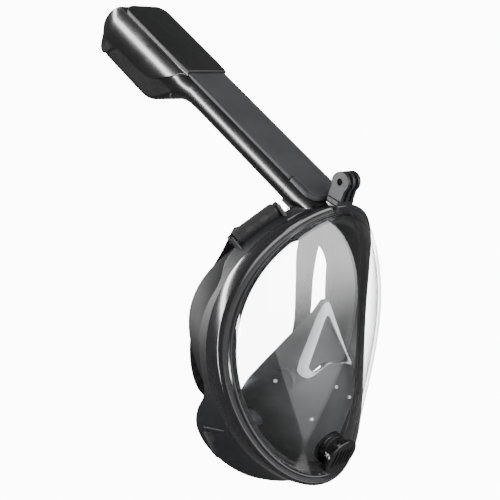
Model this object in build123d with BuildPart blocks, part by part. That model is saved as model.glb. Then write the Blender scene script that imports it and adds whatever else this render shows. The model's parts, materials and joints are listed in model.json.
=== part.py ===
from build123d import *
from math import cos, pi, radians, sin
import os

os.makedirs("parts", exist_ok=True)

# Full face snorkel mask. X runs across the face, the front looks along -Y and +Z is up.
# The origin is the centre of the face opening, at the rear rim of the silicone skirt.

# ---- overall sizes of the mask ----
mask_half_width = 87.0
mask_half_height = 104.5
shoulder_swell = 0.058
corner_swell = 0.031
outline_points = 16
skirt_depth = 38.0
rim_spare = 28.0
rim_radius = mask_half_width + rim_spare
rim_tilt = 3.0
reach = 400.0

# ---- how the layers of the mask stack, as depths behind the swept rim surface ----
bezel_lip = 4.0
lens_flange = 2.5
gasket_thickness = 1.5
skirt_flange = 2.5
frame_depth = 30.0
bezel_wrap = 12.0
lens_face = bezel_lip
gasket_face = lens_face + lens_flange
skirt_face = gasket_face + gasket_thickness
frame_face = skirt_face + skirt_flange

# ---- how far each layer's edge lies inside the mask's outline ----
bezel_width = 8.0
bezel_wall = 2.6
edge_clearance = 0.3
frame_width = 12.0
lens_wall = 2.5
gasket_width = 7.0
skirt_wall = 2.5
skirt_lip = 17.0
channel_outer = 5.0
channel_inner = 9.0
channel_front = 14.0
channel_back = 20.0
channel_bottom = -66.0

# ---- curved lens: radius from its upright axis at four heights ----
lens_axis_y = 30.4
lens_top = (mask_half_width - 16.0, mask_half_height - 4.5)
lens_brow = (mask_half_width + 0.4, 30.0)
lens_cheek = (mask_half_width - 3.5, -22.0)
lens_chin = (mask_half_width - 15.0, 8.5 - mask_half_height)
lens_run_out = 40.0

# ---- snorkel tube, tilted back from the upright ----
tube_tilt = 54.0
tube_foot_y = -5.8
tube_foot_z = 115.5
tube_width = 40.0
tube_depth = 21.0
tube_corner = 8.0
tube_wall = 2.0
tube_length = 125.0
plate_thickness = 3.0
plate_edge = 1.2
duct_width = 13.0
rib_thickness = 1.4

# ---- socket on the brow and the spigot that slides into it ----
neck_length = 28.0
neck_margin = 1.0
neck_wall = 3.0
bore_length = 24.0
plenum_y = -23.0
plenum_depth = 12.0
plenum_low = 85.0
plenum_high = 105.0
riser_width = 7.0
riser_gap = 2.5
riser_low = 93.5
spigot_length = 24.0
spigot_wall = 2.0
spigot_flange = 3.0
slide_fit = 0.08
seal_height = 3.0
seal_depth = 1.2
seal_from_tip = 8.0
panel_width = 34.0
panel_length = 25.0
panel_recess = 1.2
panel_proud = 0.6
panel_corner = 6.0

# ---- head of the snorkel ----
head_length = 97.0
head_dome_middle = 13.0
head_dome_front = 85.0
head_dome_rear = 83.0
head_width = 46.0
head_step = 2.0
hood_depth = 30.0
hood_wall = 2.2
hood_corner = 7.0
head_overlap = 6.0
head_plate_sink = 1.5
joint_gap = 0.3
keel_depth = 13.0
keel_width = 43.0
keel_start = 12.0
keel_slope = 17.0
keel_wall = 2.0
keel_neck = 2.0
keel_neck_width = 39.0
keel_corner = 8.0
slot_margin = 10.0
inlet_margin = 10.0
window_reach = 12.0
slot_length = 26.0
head_plate_inset = 1.0
slot_count = 7
slot_width = 3.2
cage_width = 30.0
cage_depth = 17.0
cage_wall = 1.6
cage_start = 14.0
cage_front = 1.0
seat_land = 7.0
float_length = 26.0
float_play = 0.5
float_travel = 8.0
seal_thickness = 2.0
seat_thickness = 2.5
baffle_thickness = 1.6
screw_radius = 1.5
screw_head_radius = 2.8
screw_head_height = 1.8
screw_sink = 2.0
screw_margin = 3.6

# ---- camera mount with three ears ----
ear_radius = 7.5
ear_thickness = 3.0
ear_pitch = 6.0
ear_bore_radius = 2.5
ear_count = 3
ear_rise = 16.0
mount_y = -41.2
mount_z = 106.2
mount_lean = 22.0
mount_width = 18.0
mount_length = 13.0
mount_base = 3.0
mount_corner = 2.0
ear_foot = 6.0
mount_pad = 5.0

# ---- breathing pocket over nose and mouth ----
pocket_wall = 2.0
pocket_levels = (
    (34.0, 13.0, -34.0, 12.0),
    (6.0, 34.0, -42.0, 12.0),
    (-38.0, 70.0, -40.0, 12.0),
    (-59.0, 58.0, -37.0, 12.0),
    (-60.6, 57.0, -36.6, 1.0),
    (-87.3, 26.0, -29.5, 1.0),
)
pocket_corner_share = 0.22
pocket_open = 14.0

# ---- valves ----
flap_radius = 7.0
flap_thickness = 1.0
flap_lift = 1.2
seat_radius = 9.0
seat_length = 6.0
seat_spoke = 1.4
stem_radius = 1.2
stem_fit = 0.08
bulb_radius = 1.7
flap_gap = 0.1
web_hole_count = 6
inhale_x = 30.0
inhale_y = -20.0
inhale_z = -22.0
exhale_y = 4.0
exhale_z = -52.0
port_radius = 6.8
port_wall = 1.2
port_inner_x = 28.0
port_outer_x = 64.0
exhale_seat_x = 42.0
exhale_flap_radius = 5.0

# ---- chin drain ----
drain_y = -38.5
drain_z = -78.5
drain_tilt = 28.0
drain_radius = 12.5
drain_bore = 10.5
drain_inner = 15.0
drain_outer = 5.0
drain_reach = 36.0
drain_flap_radius = 9.0
drain_cover_edge = 1.0
drain_slot_pitch = 4.0
drain_slot_length = 15.0
drain_slot_width = 1.8
clamp_ring_wall = 2.0
clamp_ring_height = 2.5
drain_cover_radius = 15.5
drain_cover_thickness = 3.0
drain_slot_count = 5

# ---- head harness ----
bar_radius = 1.75
bar_seat = 4.0
loop_radius = 4.6
strap_thickness = 1.6
recess_radius = 6.3
upper_spot = (mask_half_width - 39.5, 35.0 - skirt_depth, mask_half_height - 13.5)
upper_bar = (upper_spot, (-0.731, -0.40, 0.552), (-0.35, -0.90, -0.60))
upper_strap_width = 36.0
lower_spot = (mask_half_width - 25.5, 62.0 - skirt_depth, 36.5 - mask_half_height)
lower_bar = (lower_spot, (0.50, -0.10, 0.86), (-0.10, -1.0, 0.0))
lower_strap_width = 24.0
strap_play = 0.8
lug_width = 13.0
lug_depth = 20.0
pad_y = 83.0 - skirt_depth
pad_z = -62.0
pad_width = 2 * (mask_half_width - 45.0)
pad_height = 34.0
pad_thickness = 3.0
pad_corner = 4.0
upper_stations = (
    ((1.1, 2.1, 3.0), (0.731, 0.40, -0.552), 36.0),
    ((-6.3, 10.8, -0.6), (0.80, 0.35, -0.48), 33.0),
    ((-3.5, 25.0, -23.0), (0.97, 0.10, -0.20), 27.0),
    ((7.5, 39.0, -55.0), (1.0, 0.0, 0.10), 22.0),
    ((11.5, 45.0, -91.0), (1.0, 0.0, 0.0), 20.0),
    ((3.5, 47.5, -119.0), (0.95, 0.0, -0.30), 19.0),
    ((-18.5, 48.0, -136.0), (1.0, 0.0, 0.0), 18.0),
)
lower_stations = (
    ((2.1, 3.1, -0.8), (0.50, -0.10, 0.86), 24.0),
    ((-4.6, 8.9, 3.5), (0.40, -0.05, 0.90), 23.0),
    ((-19.5, 21.0, 6.0), (0.0, 0.0, 1.0), 22.0),
)

# ---- release latch behind the socket ----
latch_width = 16.0
latch_tail = 9.0
latch_nose = 11.0
latch_hook = 3.0
latch_thickness = 2.4
latch_standoff = 4.0
latch_pin_along = -7.0
latch_pin_radius = 1.5
latch_pin_fit = 0.06
latch_boss_radius = 3.0
latch_lug = 3.0
latch_gap = 0.3
spring_width = 4.6
spring_wire = 0.8
spring_fit = 0.2

# ---- directions: the rim's upright axis, and the tube's own axis and rear side ----
tilt = radians(rim_tilt)
upright = Vector(0, -sin(tilt), cos(tilt))
tube_way = Vector(0, sin(radians(tube_tilt)), cos(radians(tube_tilt)))
tube_back = Vector(0, cos(radians(tube_tilt)), -sin(radians(tube_tilt)))


def outline(inset):
    """Points of the egg-shaped outline, moved in from the mask's edge by an inset."""
    width = mask_half_width - inset
    height = mask_half_height - inset
    points = []
    for step in range(outline_points):
        turn = 2 * pi * step / outline_points
        swell = 1 + shoulder_swell * cos(turn) + corner_swell * cos(2 * turn)
        points.append((width * sin(turn) * swell, height * cos(turn)))
    return points


def egg(inset):
    """Closed edge of the egg outline, moved in from the mask's edge by an inset."""
    with BuildLine(mode=Mode.PRIVATE) as edge:
        Spline(*outline(inset), periodic=True)
    return edge.edges()


def rim_plane(depth):
    """Plane of the upright rim cylinder whose front lies this deep behind the rim."""
    axis_y = -skirt_depth + depth + rim_radius
    return Plane(origin=(0, axis_y, 0), x_dir=(1, 0, 0), z_dir=upright)


def tube_plane(along, depth=0.0):
    """Cross plane of the tube: local x is across, local -y is the tube's front face."""
    foot = Vector(0, tube_foot_y, tube_foot_z)
    return Plane(origin=foot + tube_way * along + tube_back * depth, x_dir=(1, 0, 0), z_dir=tube_way)


def barrel(shrink):
    """Solid barrel inside the lens surface, on its tilted upright axis."""
    top_radius, top_height = lens_top
    chin_radius, chin_height = lens_chin
    section_plane = Plane(origin=(0, lens_axis_y, 0), x_dir=(1, 0, 0), z_dir=(0, -cos(tilt), -sin(tilt)))
    with BuildPart(mode=Mode.PRIVATE) as body:
        with BuildSketch(section_plane):
            with BuildLine():
                crown = Spline(
                    (chin_radius - shrink, chin_height),
                    (lens_cheek[0] - shrink, lens_cheek[1]),
                    (lens_brow[0] - shrink, lens_brow[1]),
                    (top_radius - shrink, top_height),
                )
                Polyline(
                    crown @ 1,
                    (top_radius - shrink, top_height + lens_run_out),
                    (0, top_height + lens_run_out),
                    (0, chin_height - lens_run_out),
                    (chin_radius - shrink, chin_height - lens_run_out),
                    crown @ 0,
                )
            make_face()
        revolve(axis=Axis((0, lens_axis_y, 0), upright))
    return body.part


def layer(outer, inner, front, back):
    """Wall that follows the egg outline, between two insets and two depths behind the rim."""
    with BuildPart(mode=Mode.PRIVATE) as wall:
        with BuildSketch(Plane.XZ):
            make_face(egg(outer))
            if inner is not None:
                make_face(egg(inner), mode=Mode.SUBTRACT)
        extrude(amount=reach / 2, both=True)
        with Locations(rim_plane(front)):
            Cylinder(rim_radius, reach, mode=Mode.INTERSECT)
        with Locations(rim_plane(back)):
            Cylinder(rim_radius, reach, mode=Mode.SUBTRACT)
    return wall.part


def tube_bar(width, depth, radius, start, end, centre=0.0):
    """Bar with rounded corners along the tube axis; its middle lies behind the axis by centre."""
    with BuildPart(mode=Mode.PRIVATE) as bar:
        with BuildSketch(tube_plane(start, centre)):
            RectangleRounded(width, depth, radius)
        extrude(amount=end - start)
    return bar.part


# ---- front bezel ----
bezel_ring = layer(0, bezel_width, 0, lens_face)
bezel_skirt = layer(0, bezel_wall, lens_face, bezel_wrap)
mount_tilt = radians(mount_lean)
mount_up = Vector(0, -sin(mount_tilt), cos(mount_tilt))
mount_plane = Plane(origin=(0, mount_y, mount_z), x_dir=(1, 0, 0), z_dir=mount_up)
with BuildPart() as mount_pad_block:
    with BuildSketch(mount_plane):
        Rectangle(mount_width, mount_length)
    extrude(amount=-mount_pad)
rim_layer = layer(-mount_pad, bezel_wall, 0, bezel_wrap)
with BuildPart() as front_bezel:
    add(mount_pad_block.part)
    add(rim_layer, mode=Mode.INTERSECT)
    add(bezel_ring)
    add(bezel_skirt)
front_bezel.part.label = "front_bezel"
export_step(front_bezel.part, "parts/front_bezel.step")

# ---- chin drain axis, pointing out and down ----
drain_turn = radians(drain_tilt)
drain_way = Vector(0, -cos(drain_turn), -sin(drain_turn))
drain_centre = Vector(0, drain_y, drain_z)


def drain_plane(along):
    """Cross plane of the chin drain, this far out along its axis."""
    return Plane(origin=drain_centre + drain_way * along, x_dir=(1, 0, 0), z_dir=drain_way)


# ---- clear lens ----
lens_edge = bezel_width + edge_clearance
flange_edge = bezel_wall + edge_clearance
lens_outside = barrel(0)
lens_inside = barrel(lens_wall)
with BuildPart() as lens_hollow:
    with BuildSketch(Plane.XZ):
        make_face(egg(lens_edge + lens_wall))
    extrude(amount=reach / 2, both=True)
    add(lens_inside, mode=Mode.INTERSECT)
lens_foot = layer(flange_edge, lens_edge + lens_wall, lens_face, gasket_face)
with BuildPart() as lens:
    with BuildSketch(Plane.XZ):
        make_face(egg(lens_edge))
    extrude(amount=reach / 2, both=True)
    add(lens_outside, mode=Mode.INTERSECT)
    with Locations(rim_plane(gasket_face)):
        Cylinder(rim_radius, reach, mode=Mode.SUBTRACT)
    add(lens_hollow.part, mode=Mode.SUBTRACT)
    add(lens_foot)
    with Locations(drain_plane(0)):
        Cylinder(drain_radius + edge_clearance, 2 * drain_reach, mode=Mode.SUBTRACT)
    with BuildSketch(drain_plane(drain_outer - joint_gap)):
        Circle(drain_cover_radius + joint_gap)
    extrude(amount=drain_reach, mode=Mode.SUBTRACT)
lens.part.label = "lens"
export_step(lens.part, "parts/lens.step")

# ---- lens gasket ----
gasket_ring = layer(flange_edge, flange_edge + gasket_width, gasket_face, skirt_face)
with BuildPart() as lens_gasket:
    add(gasket_ring)
lens_gasket.part.label = "lens_gasket"
export_step(lens_gasket.part, "parts/lens_gasket.step")

# ---- strap bars, one at each corner of the frame ----
def on_side(side, vector):
    """A place or direction given for the left side, mirrored when the side is the right one."""
    return Vector(side * vector[0], vector[1], vector[2])


def bar_plane(bar, side, along=0.0):
    """Plane across a strap bar: local +x points at the frame, local z runs along the bar."""
    middle, way, inward = (on_side(side, vector) for vector in bar)
    run = way.normalized()
    return Plane(origin=middle + run * along, x_dir=inward, z_dir=run)


def along_bar(bar, side, radius, length):
    """Round rod centred on a strap bar's axis."""
    with BuildPart(mode=Mode.PRIVATE) as rod:
        with BuildSketch(bar_plane(bar, side, -length / 2)):
            Circle(radius)
        extrude(amount=length)
    return rod.part


def lug(bar, side, start, length):
    """Arm that carries one end of a strap bar from the frame."""
    with BuildPart(mode=Mode.PRIVATE) as arm:
        with BuildSketch(bar_plane(bar, side, start)):
            Circle(lug_width / 2)
            with Locations((lug_depth / 2, 0)):
                Rectangle(lug_depth, lug_width)
        extrude(amount=length)
    return arm.part


corners = []
for side in (-1, 1):
    corners.append((upper_bar, side, upper_strap_width + 2 * strap_play))
    corners.append((lower_bar, side, lower_strap_width + 2 * strap_play))

lugs = []
recesses = []
bars = []
for bar, side, opening in corners:
    lugs.append(lug(bar, side, -opening / 2 - bar_seat, bar_seat))
    lugs.append(lug(bar, side, opening / 2, bar_seat))
    recesses.append(along_bar(bar, side, recess_radius, opening))
    bars.append(along_bar(bar, side, bar_radius, opening + 2 * bar_seat))

with BuildPart() as strap_bars:
    for rod in bars:
        add(rod)
strap_bars.part.label = "strap_bars"
export_step(strap_bars.part, "parts/strap_bars.step")

# ---- exhale ports, which lead from the breathing pocket into the frame's side channels ----
def across(side, start, end, radius, y, z):
    """Round bar running outwards along X on one side of the mask."""
    port_plane = Plane(origin=(side * start, y, z), x_dir=(0, 1, 0), z_dir=(side, 0, 0))
    with BuildPart(mode=Mode.PRIVATE) as bar_across:
        with BuildSketch(port_plane):
            Circle(radius)
        extrude(amount=end - start)
    return bar_across.part


exhale_ports = []
for side in (-1, 1):
    exhale_ports.append(across(side, port_inner_x, port_outer_x, port_radius, exhale_y, exhale_z))

# ---- frame, with the socket for the tube moulded on its brow ----
duct_centre = (plate_thickness - tube_wall) / 2
bore_width = tube_width + neck_margin - 2 * neck_wall
bore_depth = tube_depth + neck_margin - 2 * neck_wall
bore_corner = tube_corner - tube_wall
neck_front = (tube_depth + neck_margin) / 2
frame_ring = layer(0, frame_width, bezel_wrap, frame_depth)
frame_tongue = layer(flange_edge, frame_width, frame_face, bezel_wrap)
front_space = layer(-reach / 8, None, -reach / 8, bezel_wrap)
inner_space = layer(frame_width, None, -reach / 8, reach / 4)
channel_ring = layer(channel_outer, channel_inner, channel_front, channel_back)
plenum_height = plenum_high - plenum_low
riser_x = duct_width / 2 + riser_gap + riser_width / 2
riser_height = plenum_high - riser_low
with BuildPart() as air_channels:
    add(channel_ring)
    with Locations((0, 0, channel_bottom)):
        Box(reach, reach, reach, align=(Align.CENTER, Align.CENTER, Align.MAX), mode=Mode.SUBTRACT)
    Box(2 * riser_x, reach, reach, align=(Align.CENTER, Align.CENTER, Align.MIN), mode=Mode.SUBTRACT)
    riser_middle = riser_low + riser_height / 2
    with Locations((-riser_x, plenum_y, riser_middle), (riser_x, plenum_y, riser_middle)):
        Box(riser_width, plenum_depth, riser_height)
with BuildPart() as air_plenum:
    with Locations((0, plenum_y, plenum_low + plenum_height / 2)):
        Box(duct_width, plenum_depth, plenum_height)
neck_block = tube_bar(tube_width + neck_margin, 2 * neck_front, tube_corner, -neck_length, 0)
neck_bore = tube_bar(bore_width, bore_depth, bore_corner, -bore_length, 1, duct_centre)
latch_pin_depth = neck_front + latch_standoff
latch_half = latch_width / 2
latch_lug_start = latch_half + latch_gap


def latch_plane(start):
    """Side plane of the latch at its pin: local x runs up the tube, local y points at it."""
    middle = tube_plane(latch_pin_along, latch_pin_depth).origin
    return Plane(origin=middle + Vector(start, 0, 0), x_dir=tube_way, z_dir=(1, 0, 0))


with BuildPart() as latch_lugs:
    for start in (-latch_lug_start - latch_lug, latch_lug_start):
        with BuildSketch(latch_plane(start)):
            Circle(latch_boss_radius)
            Rectangle(2 * latch_boss_radius, latch_standoff + 1, align=(Align.CENTER, Align.MIN))
        extrude(amount=latch_lug)
with BuildPart() as latch_pin:
    with BuildSketch(latch_plane(-latch_lug_start - latch_lug)):
        Circle(latch_pin_radius)
    extrude(amount=2 * (latch_lug_start + latch_lug))
latch_pin.part.label = "latch_pin"
export_step(latch_pin.part, "parts/latch_pin.step")

panel_plane = Plane(
    origin=tube_plane(0, panel_recess - neck_front).origin,
    x_dir=(1, 0, 0),
    z_dir=-tube_back,
)
panel_thickness = panel_recess + panel_proud


def panel(top, thickness):
    """Front panel of the socket: square at the tube's end and rounded at the lens end."""
    with BuildPart(mode=Mode.PRIVATE) as plate:
        with BuildSketch(panel_plane):
            with Locations((0, -panel_length / 2)):
                RectangleRounded(panel_width, panel_length, panel_corner)
            with Locations((0, top - panel_length / 4)):
                Rectangle(panel_width, panel_length / 2)
            with Locations((0, top)):
                Rectangle(panel_width, panel_length, align=(Align.CENTER, Align.MIN), mode=Mode.SUBTRACT)
        extrude(amount=thickness)
    return plate.part


panel_pocket = panel(0, panel_thickness)
with BuildPart() as mask_frame:
    add(frame_ring)
    add(neck_block)
    add(latch_lugs.part)
    for arm in lugs:
        add(arm)
    add(front_space, mode=Mode.SUBTRACT)
    add(frame_tongue)
    add(inner_space, mode=Mode.SUBTRACT)
    for recess in recesses:
        add(recess, mode=Mode.SUBTRACT)
    for rod in bars:
        add(rod, mode=Mode.SUBTRACT)
    add(neck_bore, mode=Mode.SUBTRACT)
    add(air_channels.part, mode=Mode.SUBTRACT)
    add(air_plenum.part, mode=Mode.SUBTRACT)
    for port in exhale_ports:
        add(port, mode=Mode.SUBTRACT)
    add(panel_pocket, mode=Mode.SUBTRACT)
    add(latch_pin.part, mode=Mode.SUBTRACT)
mask_frame.part.label = "mask_frame"
export_step(mask_frame.part, "parts/mask_frame.step")

# ---- matte panel set in the front of the socket ----
panel_plate = panel(-joint_gap, panel_thickness)
with BuildPart() as neck_front_panel:
    add(panel_plate)
neck_front_panel.part.label = "neck_front_panel"
export_step(neck_front_panel.part, "parts/neck_front_panel.step")

# ---- silicone face skirt: flange, wall and the lip that seals on the face ----
skirt_outer = frame_width + edge_clearance
skirt_inner = skirt_outer + skirt_wall
skirt_lip_front = skirt_depth - skirt_wall
skirt_clamp = layer(flange_edge, skirt_inner, skirt_face, frame_face)
skirt_tunnel = layer(skirt_outer, skirt_inner, frame_face, skirt_depth)
skirt_rim = layer(skirt_outer, skirt_outer + skirt_lip, skirt_lip_front, skirt_depth)
with BuildPart() as face_skirt:
    add(skirt_clamp)
    add(skirt_tunnel)
    add(skirt_rim)
    add(air_plenum.part, mode=Mode.SUBTRACT)
    for port in exhale_ports:
        add(port, mode=Mode.SUBTRACT)
face_skirt.part.label = "face_skirt"
export_step(face_skirt.part, "parts/face_skirt.step")


# ---- breathing pocket over nose and mouth ----
def pocket_shape(shrink, run_out):
    """Lofted body of the pocket; with its wall taken off, it is the space inside."""
    ends = {pocket_levels[0][0]: -shrink, pocket_levels[-1][0]: shrink}
    with BuildPart(mode=Mode.PRIVATE) as body:
        for height, width, front, back in pocket_levels:
            wide = width - 2 * shrink
            deep = back - front - shrink + run_out
            with BuildSketch(Plane.XY.offset(height + ends.get(height, 0))):
                with Locations((0, back + run_out - deep / 2)):
                    RectangleRounded(wide, deep, wide * pocket_corner_share)
        loft(ruled=True)
    return body.part


pocket_outside = pocket_shape(0, 0)
pocket_inside = pocket_shape(pocket_wall, pocket_open)
with BuildPart() as orinasal_pocket:
    add(pocket_outside)
    add(pocket_inside, mode=Mode.SUBTRACT)
    with Locations(drain_plane(-drain_reach)):
        Cylinder(drain_radius, drain_reach, align=(Align.CENTER, Align.CENTER, Align.MIN), mode=Mode.SUBTRACT)
    with BuildSketch(drain_plane(-drain_inner)):
        Circle(drain_radius + clamp_ring_wall)
    extrude(amount=clamp_ring_height, mode=Mode.SUBTRACT)
    for side in (-1, 1):
        seat_end = inhale_x + seat_length
        seat_room = across(side, inhale_x - seat_length, seat_end, seat_radius, inhale_y, inhale_z)
        add(seat_room, mode=Mode.SUBTRACT)
    for port in exhale_ports:
        add(port, mode=Mode.SUBTRACT)
orinasal_pocket.part.label = "orinasal_pocket"
export_step(orinasal_pocket.part, "parts/orinasal_pocket.step")


# ---- one-way valves ----
def valve_seat(plane, outer, inner, length):
    """Short tube with a drilled web across it; the web's downstream face is the plane."""
    with BuildPart(mode=Mode.PRIVATE) as seat:
        with BuildSketch(plane.offset(-length / 2)):
            Circle(outer)
            Circle(inner, mode=Mode.SUBTRACT)
        extrude(amount=length)
        with BuildSketch(plane.offset(-seat_spoke)):
            Circle(inner)
            Circle(stem_radius + stem_fit, mode=Mode.SUBTRACT)
            with PolarLocations((inner + stem_radius) / 2, web_hole_count):
                Circle((inner - stem_radius) / 4, mode=Mode.SUBTRACT)
        extrude(amount=seat_spoke)
    return seat.part


def valve_flap(plane, radius):
    """Mushroom flap: disc on the downstream face, stem through the web and a bulb behind it."""
    with BuildPart(mode=Mode.PRIVATE) as flap:
        with BuildSketch(plane.offset(flap_gap)):
            Circle(radius)
        extrude(amount=flap_thickness)
        with BuildSketch(plane.offset(flap_gap)):
            Circle(stem_radius)
        extrude(amount=-stem_length)
        with BuildSketch(plane.offset(flap_gap - stem_length)):
            Circle(bulb_radius)
        extrude(amount=-flap_thickness)
    return flap.part


stem_length = seat_spoke + flap_lift + 2 * flap_gap
for side, name in ((-1, "right"), (1, "left")):
    inhale_plane = Plane(origin=(side * inhale_x, inhale_y, inhale_z), x_dir=(0, 1, 0), z_dir=(-side, 0, 0))
    with BuildPart() as inhale_valve_seat:
        add(valve_seat(inhale_plane, seat_radius, seat_radius - port_wall, 2 * seat_length))
    inhale_valve_seat.part.label = f"inhale_valve_seat_{name}"
    export_step(inhale_valve_seat.part, f"parts/inhale_valve_seat_{name}.step")
    with BuildPart() as inhale_valve_flap:
        add(valve_flap(inhale_plane, flap_radius))
    inhale_valve_flap.part.label = f"inhale_valve_flap_{name}"
    export_step(inhale_valve_flap.part, f"parts/inhale_valve_flap_{name}.step")
    exhale_seat_spot = (side * exhale_seat_x, exhale_y, exhale_z)
    exhale_plane = Plane(origin=exhale_seat_spot, x_dir=(0, 1, 0), z_dir=(side, 0, 0))
    exhale_body = across(side, port_inner_x, port_outer_x, port_radius, exhale_y, exhale_z)
    exhale_hole = across(side, port_inner_x, port_outer_x, port_radius - port_wall, exhale_y, exhale_z)
    with BuildPart() as exhale_port:
        add(exhale_body)
        add(exhale_hole, mode=Mode.SUBTRACT)
        add(valve_seat(exhale_plane, port_radius, port_radius - port_wall, 2 * seat_spoke))
    exhale_port.part.label = f"exhale_port_{name}"
    export_step(exhale_port.part, f"parts/exhale_port_{name}.step")
    with BuildPart() as exhale_valve_flap:
        add(valve_flap(exhale_plane, exhale_flap_radius))
    exhale_valve_flap.part.label = f"exhale_valve_flap_{name}"
    export_step(exhale_valve_flap.part, f"parts/exhale_valve_flap_{name}.step")

# ---- chin drain: housing through the lens into the pocket, flap, clamp ring and slotted cover ----
with BuildPart() as chin_valve_housing:
    with BuildSketch(drain_plane(-drain_inner)):
        Circle(drain_radius)
        Circle(drain_bore, mode=Mode.SUBTRACT)
    extrude(amount=drain_inner + drain_outer)
    add(valve_seat(drain_plane(0), drain_radius, drain_bore, 2 * seat_spoke))
chin_valve_housing.part.label = "chin_valve_housing"
export_step(chin_valve_housing.part, "parts/chin_valve_housing.step")

with BuildPart() as chin_valve_flap:
    add(valve_flap(drain_plane(0), drain_flap_radius))
chin_valve_flap.part.label = "chin_valve_flap"
export_step(chin_valve_flap.part, "parts/chin_valve_flap.step")

with BuildPart() as pocket_clamp_ring:
    with BuildSketch(drain_plane(-drain_inner)):
        Circle(drain_radius + clamp_ring_wall)
        Circle(drain_radius, mode=Mode.SUBTRACT)
    extrude(amount=clamp_ring_height)
pocket_clamp_ring.part.label = "pocket_clamp_ring"
export_step(pocket_clamp_ring.part, "parts/pocket_clamp_ring.step")

with BuildPart() as chin_valve_cover:
    with BuildSketch(drain_plane(drain_outer)):
        Circle(drain_cover_radius)
    extrude(amount=drain_cover_thickness)
    fillet(chin_valve_cover.edges().group_by(Axis(drain_centre, drain_way))[-1], drain_cover_edge)
    with BuildSketch(drain_plane(drain_outer)):
        with GridLocations(drain_slot_pitch, 0, drain_slot_count, 1):
            SlotOverall(drain_slot_length, drain_slot_width, rotation=90)
    extrude(amount=drain_cover_thickness, mode=Mode.SUBTRACT)
chin_valve_cover.part.label = "chin_valve_cover"
export_step(chin_valve_cover.part, "parts/chin_valve_cover.step")

# ---- camera mount: foot with three ears ----
with BuildPart() as camera_mount:
    with BuildSketch(mount_plane):
        RectangleRounded(mount_width, mount_length, mount_corner)
    extrude(amount=mount_base)
    for number in range(ear_count):
        ear_x = (number - (ear_count - 1) / 2) * ear_pitch - ear_thickness / 2
        ear_side = mount_plane.origin + Vector(ear_x, 0, 0)
        ear_plane = Plane(origin=ear_side, x_dir=mount_plane.y_dir, z_dir=(1, 0, 0))
        with BuildSketch(ear_plane):
            with Locations((0, ear_rise)):
                Circle(ear_radius)
            with Locations((0, ear_rise / 2)):
                Rectangle(2 * ear_foot, ear_rise)
            with Locations((0, ear_rise)):
                Circle(ear_bore_radius, mode=Mode.SUBTRACT)
        extrude(amount=ear_thickness)
camera_mount.part.label = "camera_mount"
export_step(camera_mount.part, "parts/camera_mount.step")

# ---- snorkel tube: rear shell, front plate and the ribs that part its three ducts ----
plate_back = plate_thickness - tube_depth / 2
tube_rear = tube_depth / 2
shell_inner_width = tube_width - 2 * tube_wall
shell_end = tube_length + head_overlap
shell_outer = tube_bar(tube_width, tube_depth, tube_corner, 0, shell_end)
shell_square = tube_bar(tube_width, tube_depth / 2, plate_edge, 0, shell_end, -tube_depth / 4)
shell_inner = tube_bar(
    shell_inner_width,
    tube_depth - tube_wall,
    tube_corner - tube_wall,
    -1,
    shell_end + 1,
    -tube_wall / 2,
)
front_slab = tube_bar(2 * tube_width, tube_depth, plate_edge, -1, shell_end + 1, plate_back - tube_depth / 2)
with BuildPart() as tube_rear_shell:
    add(shell_outer)
    add(shell_square)
    add(shell_inner, mode=Mode.SUBTRACT)
    add(front_slab, mode=Mode.SUBTRACT)
tube_rear_shell.part.label = "tube_rear_shell"
export_step(tube_rear_shell.part, "parts/tube_rear_shell.step")

plate_middle = plate_back - plate_thickness / 2
plate_bar = tube_bar(tube_width, plate_thickness, plate_edge, 0, tube_length - joint_gap, plate_middle)
with BuildPart() as tube_front_plate:
    add(plate_bar)
tube_front_plate.part.label = "tube_front_plate"
export_step(tube_front_plate.part, "parts/tube_front_plate.step")

rib_depth = tube_rear - tube_wall - plate_back
with BuildPart() as tube_duct_ribs:
    with BuildSketch(tube_plane(spigot_flange)):
        with Locations((-duct_width / 2, duct_centre), (duct_width / 2, duct_centre)):
            Rectangle(rib_thickness, rib_depth)
        with Locations((0, tube_rear - tube_wall - rib_thickness / 2)):
            Rectangle(duct_width, rib_thickness)
    extrude(amount=tube_length - spigot_flange)
tube_duct_ribs.part.label = "tube_duct_ribs"
export_step(tube_duct_ribs.part, "parts/tube_duct_ribs.step")

# ---- spigot that slides into the socket, with its seal ----
spigot_width = bore_width - 2 * slide_fit
spigot_depth = bore_depth - 2 * slide_fit
spigot_corner = bore_corner - slide_fit
seal_start = seal_from_tip - spigot_length
seal_end = seal_start + seal_height
seal_inner_width = spigot_width - 2 * seal_depth
seal_inner_depth = spigot_depth - 2 * seal_depth
seal_inner_corner = spigot_corner - seal_depth
spigot_outer = tube_bar(spigot_width, spigot_depth, spigot_corner, -spigot_length, spigot_flange, duct_centre)
spigot_inner = tube_bar(
    spigot_width - 2 * spigot_wall,
    spigot_depth - 2 * spigot_wall,
    spigot_corner - spigot_wall,
    -spigot_length - 1,
    spigot_flange + 1,
    duct_centre,
)
seal_outer = tube_bar(spigot_width, spigot_depth, spigot_corner, seal_start, seal_end, duct_centre)
seal_core = tube_bar(seal_inner_width, seal_inner_depth, seal_inner_corner, seal_start, seal_end, duct_centre)
with BuildPart() as tube_spigot:
    add(spigot_outer)
    add(seal_outer, mode=Mode.SUBTRACT)
    add(seal_core)
    add(spigot_inner, mode=Mode.SUBTRACT)
tube_spigot.part.label = "tube_spigot"
export_step(tube_spigot.part, "parts/tube_spigot.step")

with BuildPart() as spigot_seal:
    add(seal_outer)
    add(seal_core, mode=Mode.SUBTRACT)
spigot_seal.part.label = "spigot_seal"
export_step(spigot_seal.part, "parts/spigot_seal.step")

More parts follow.
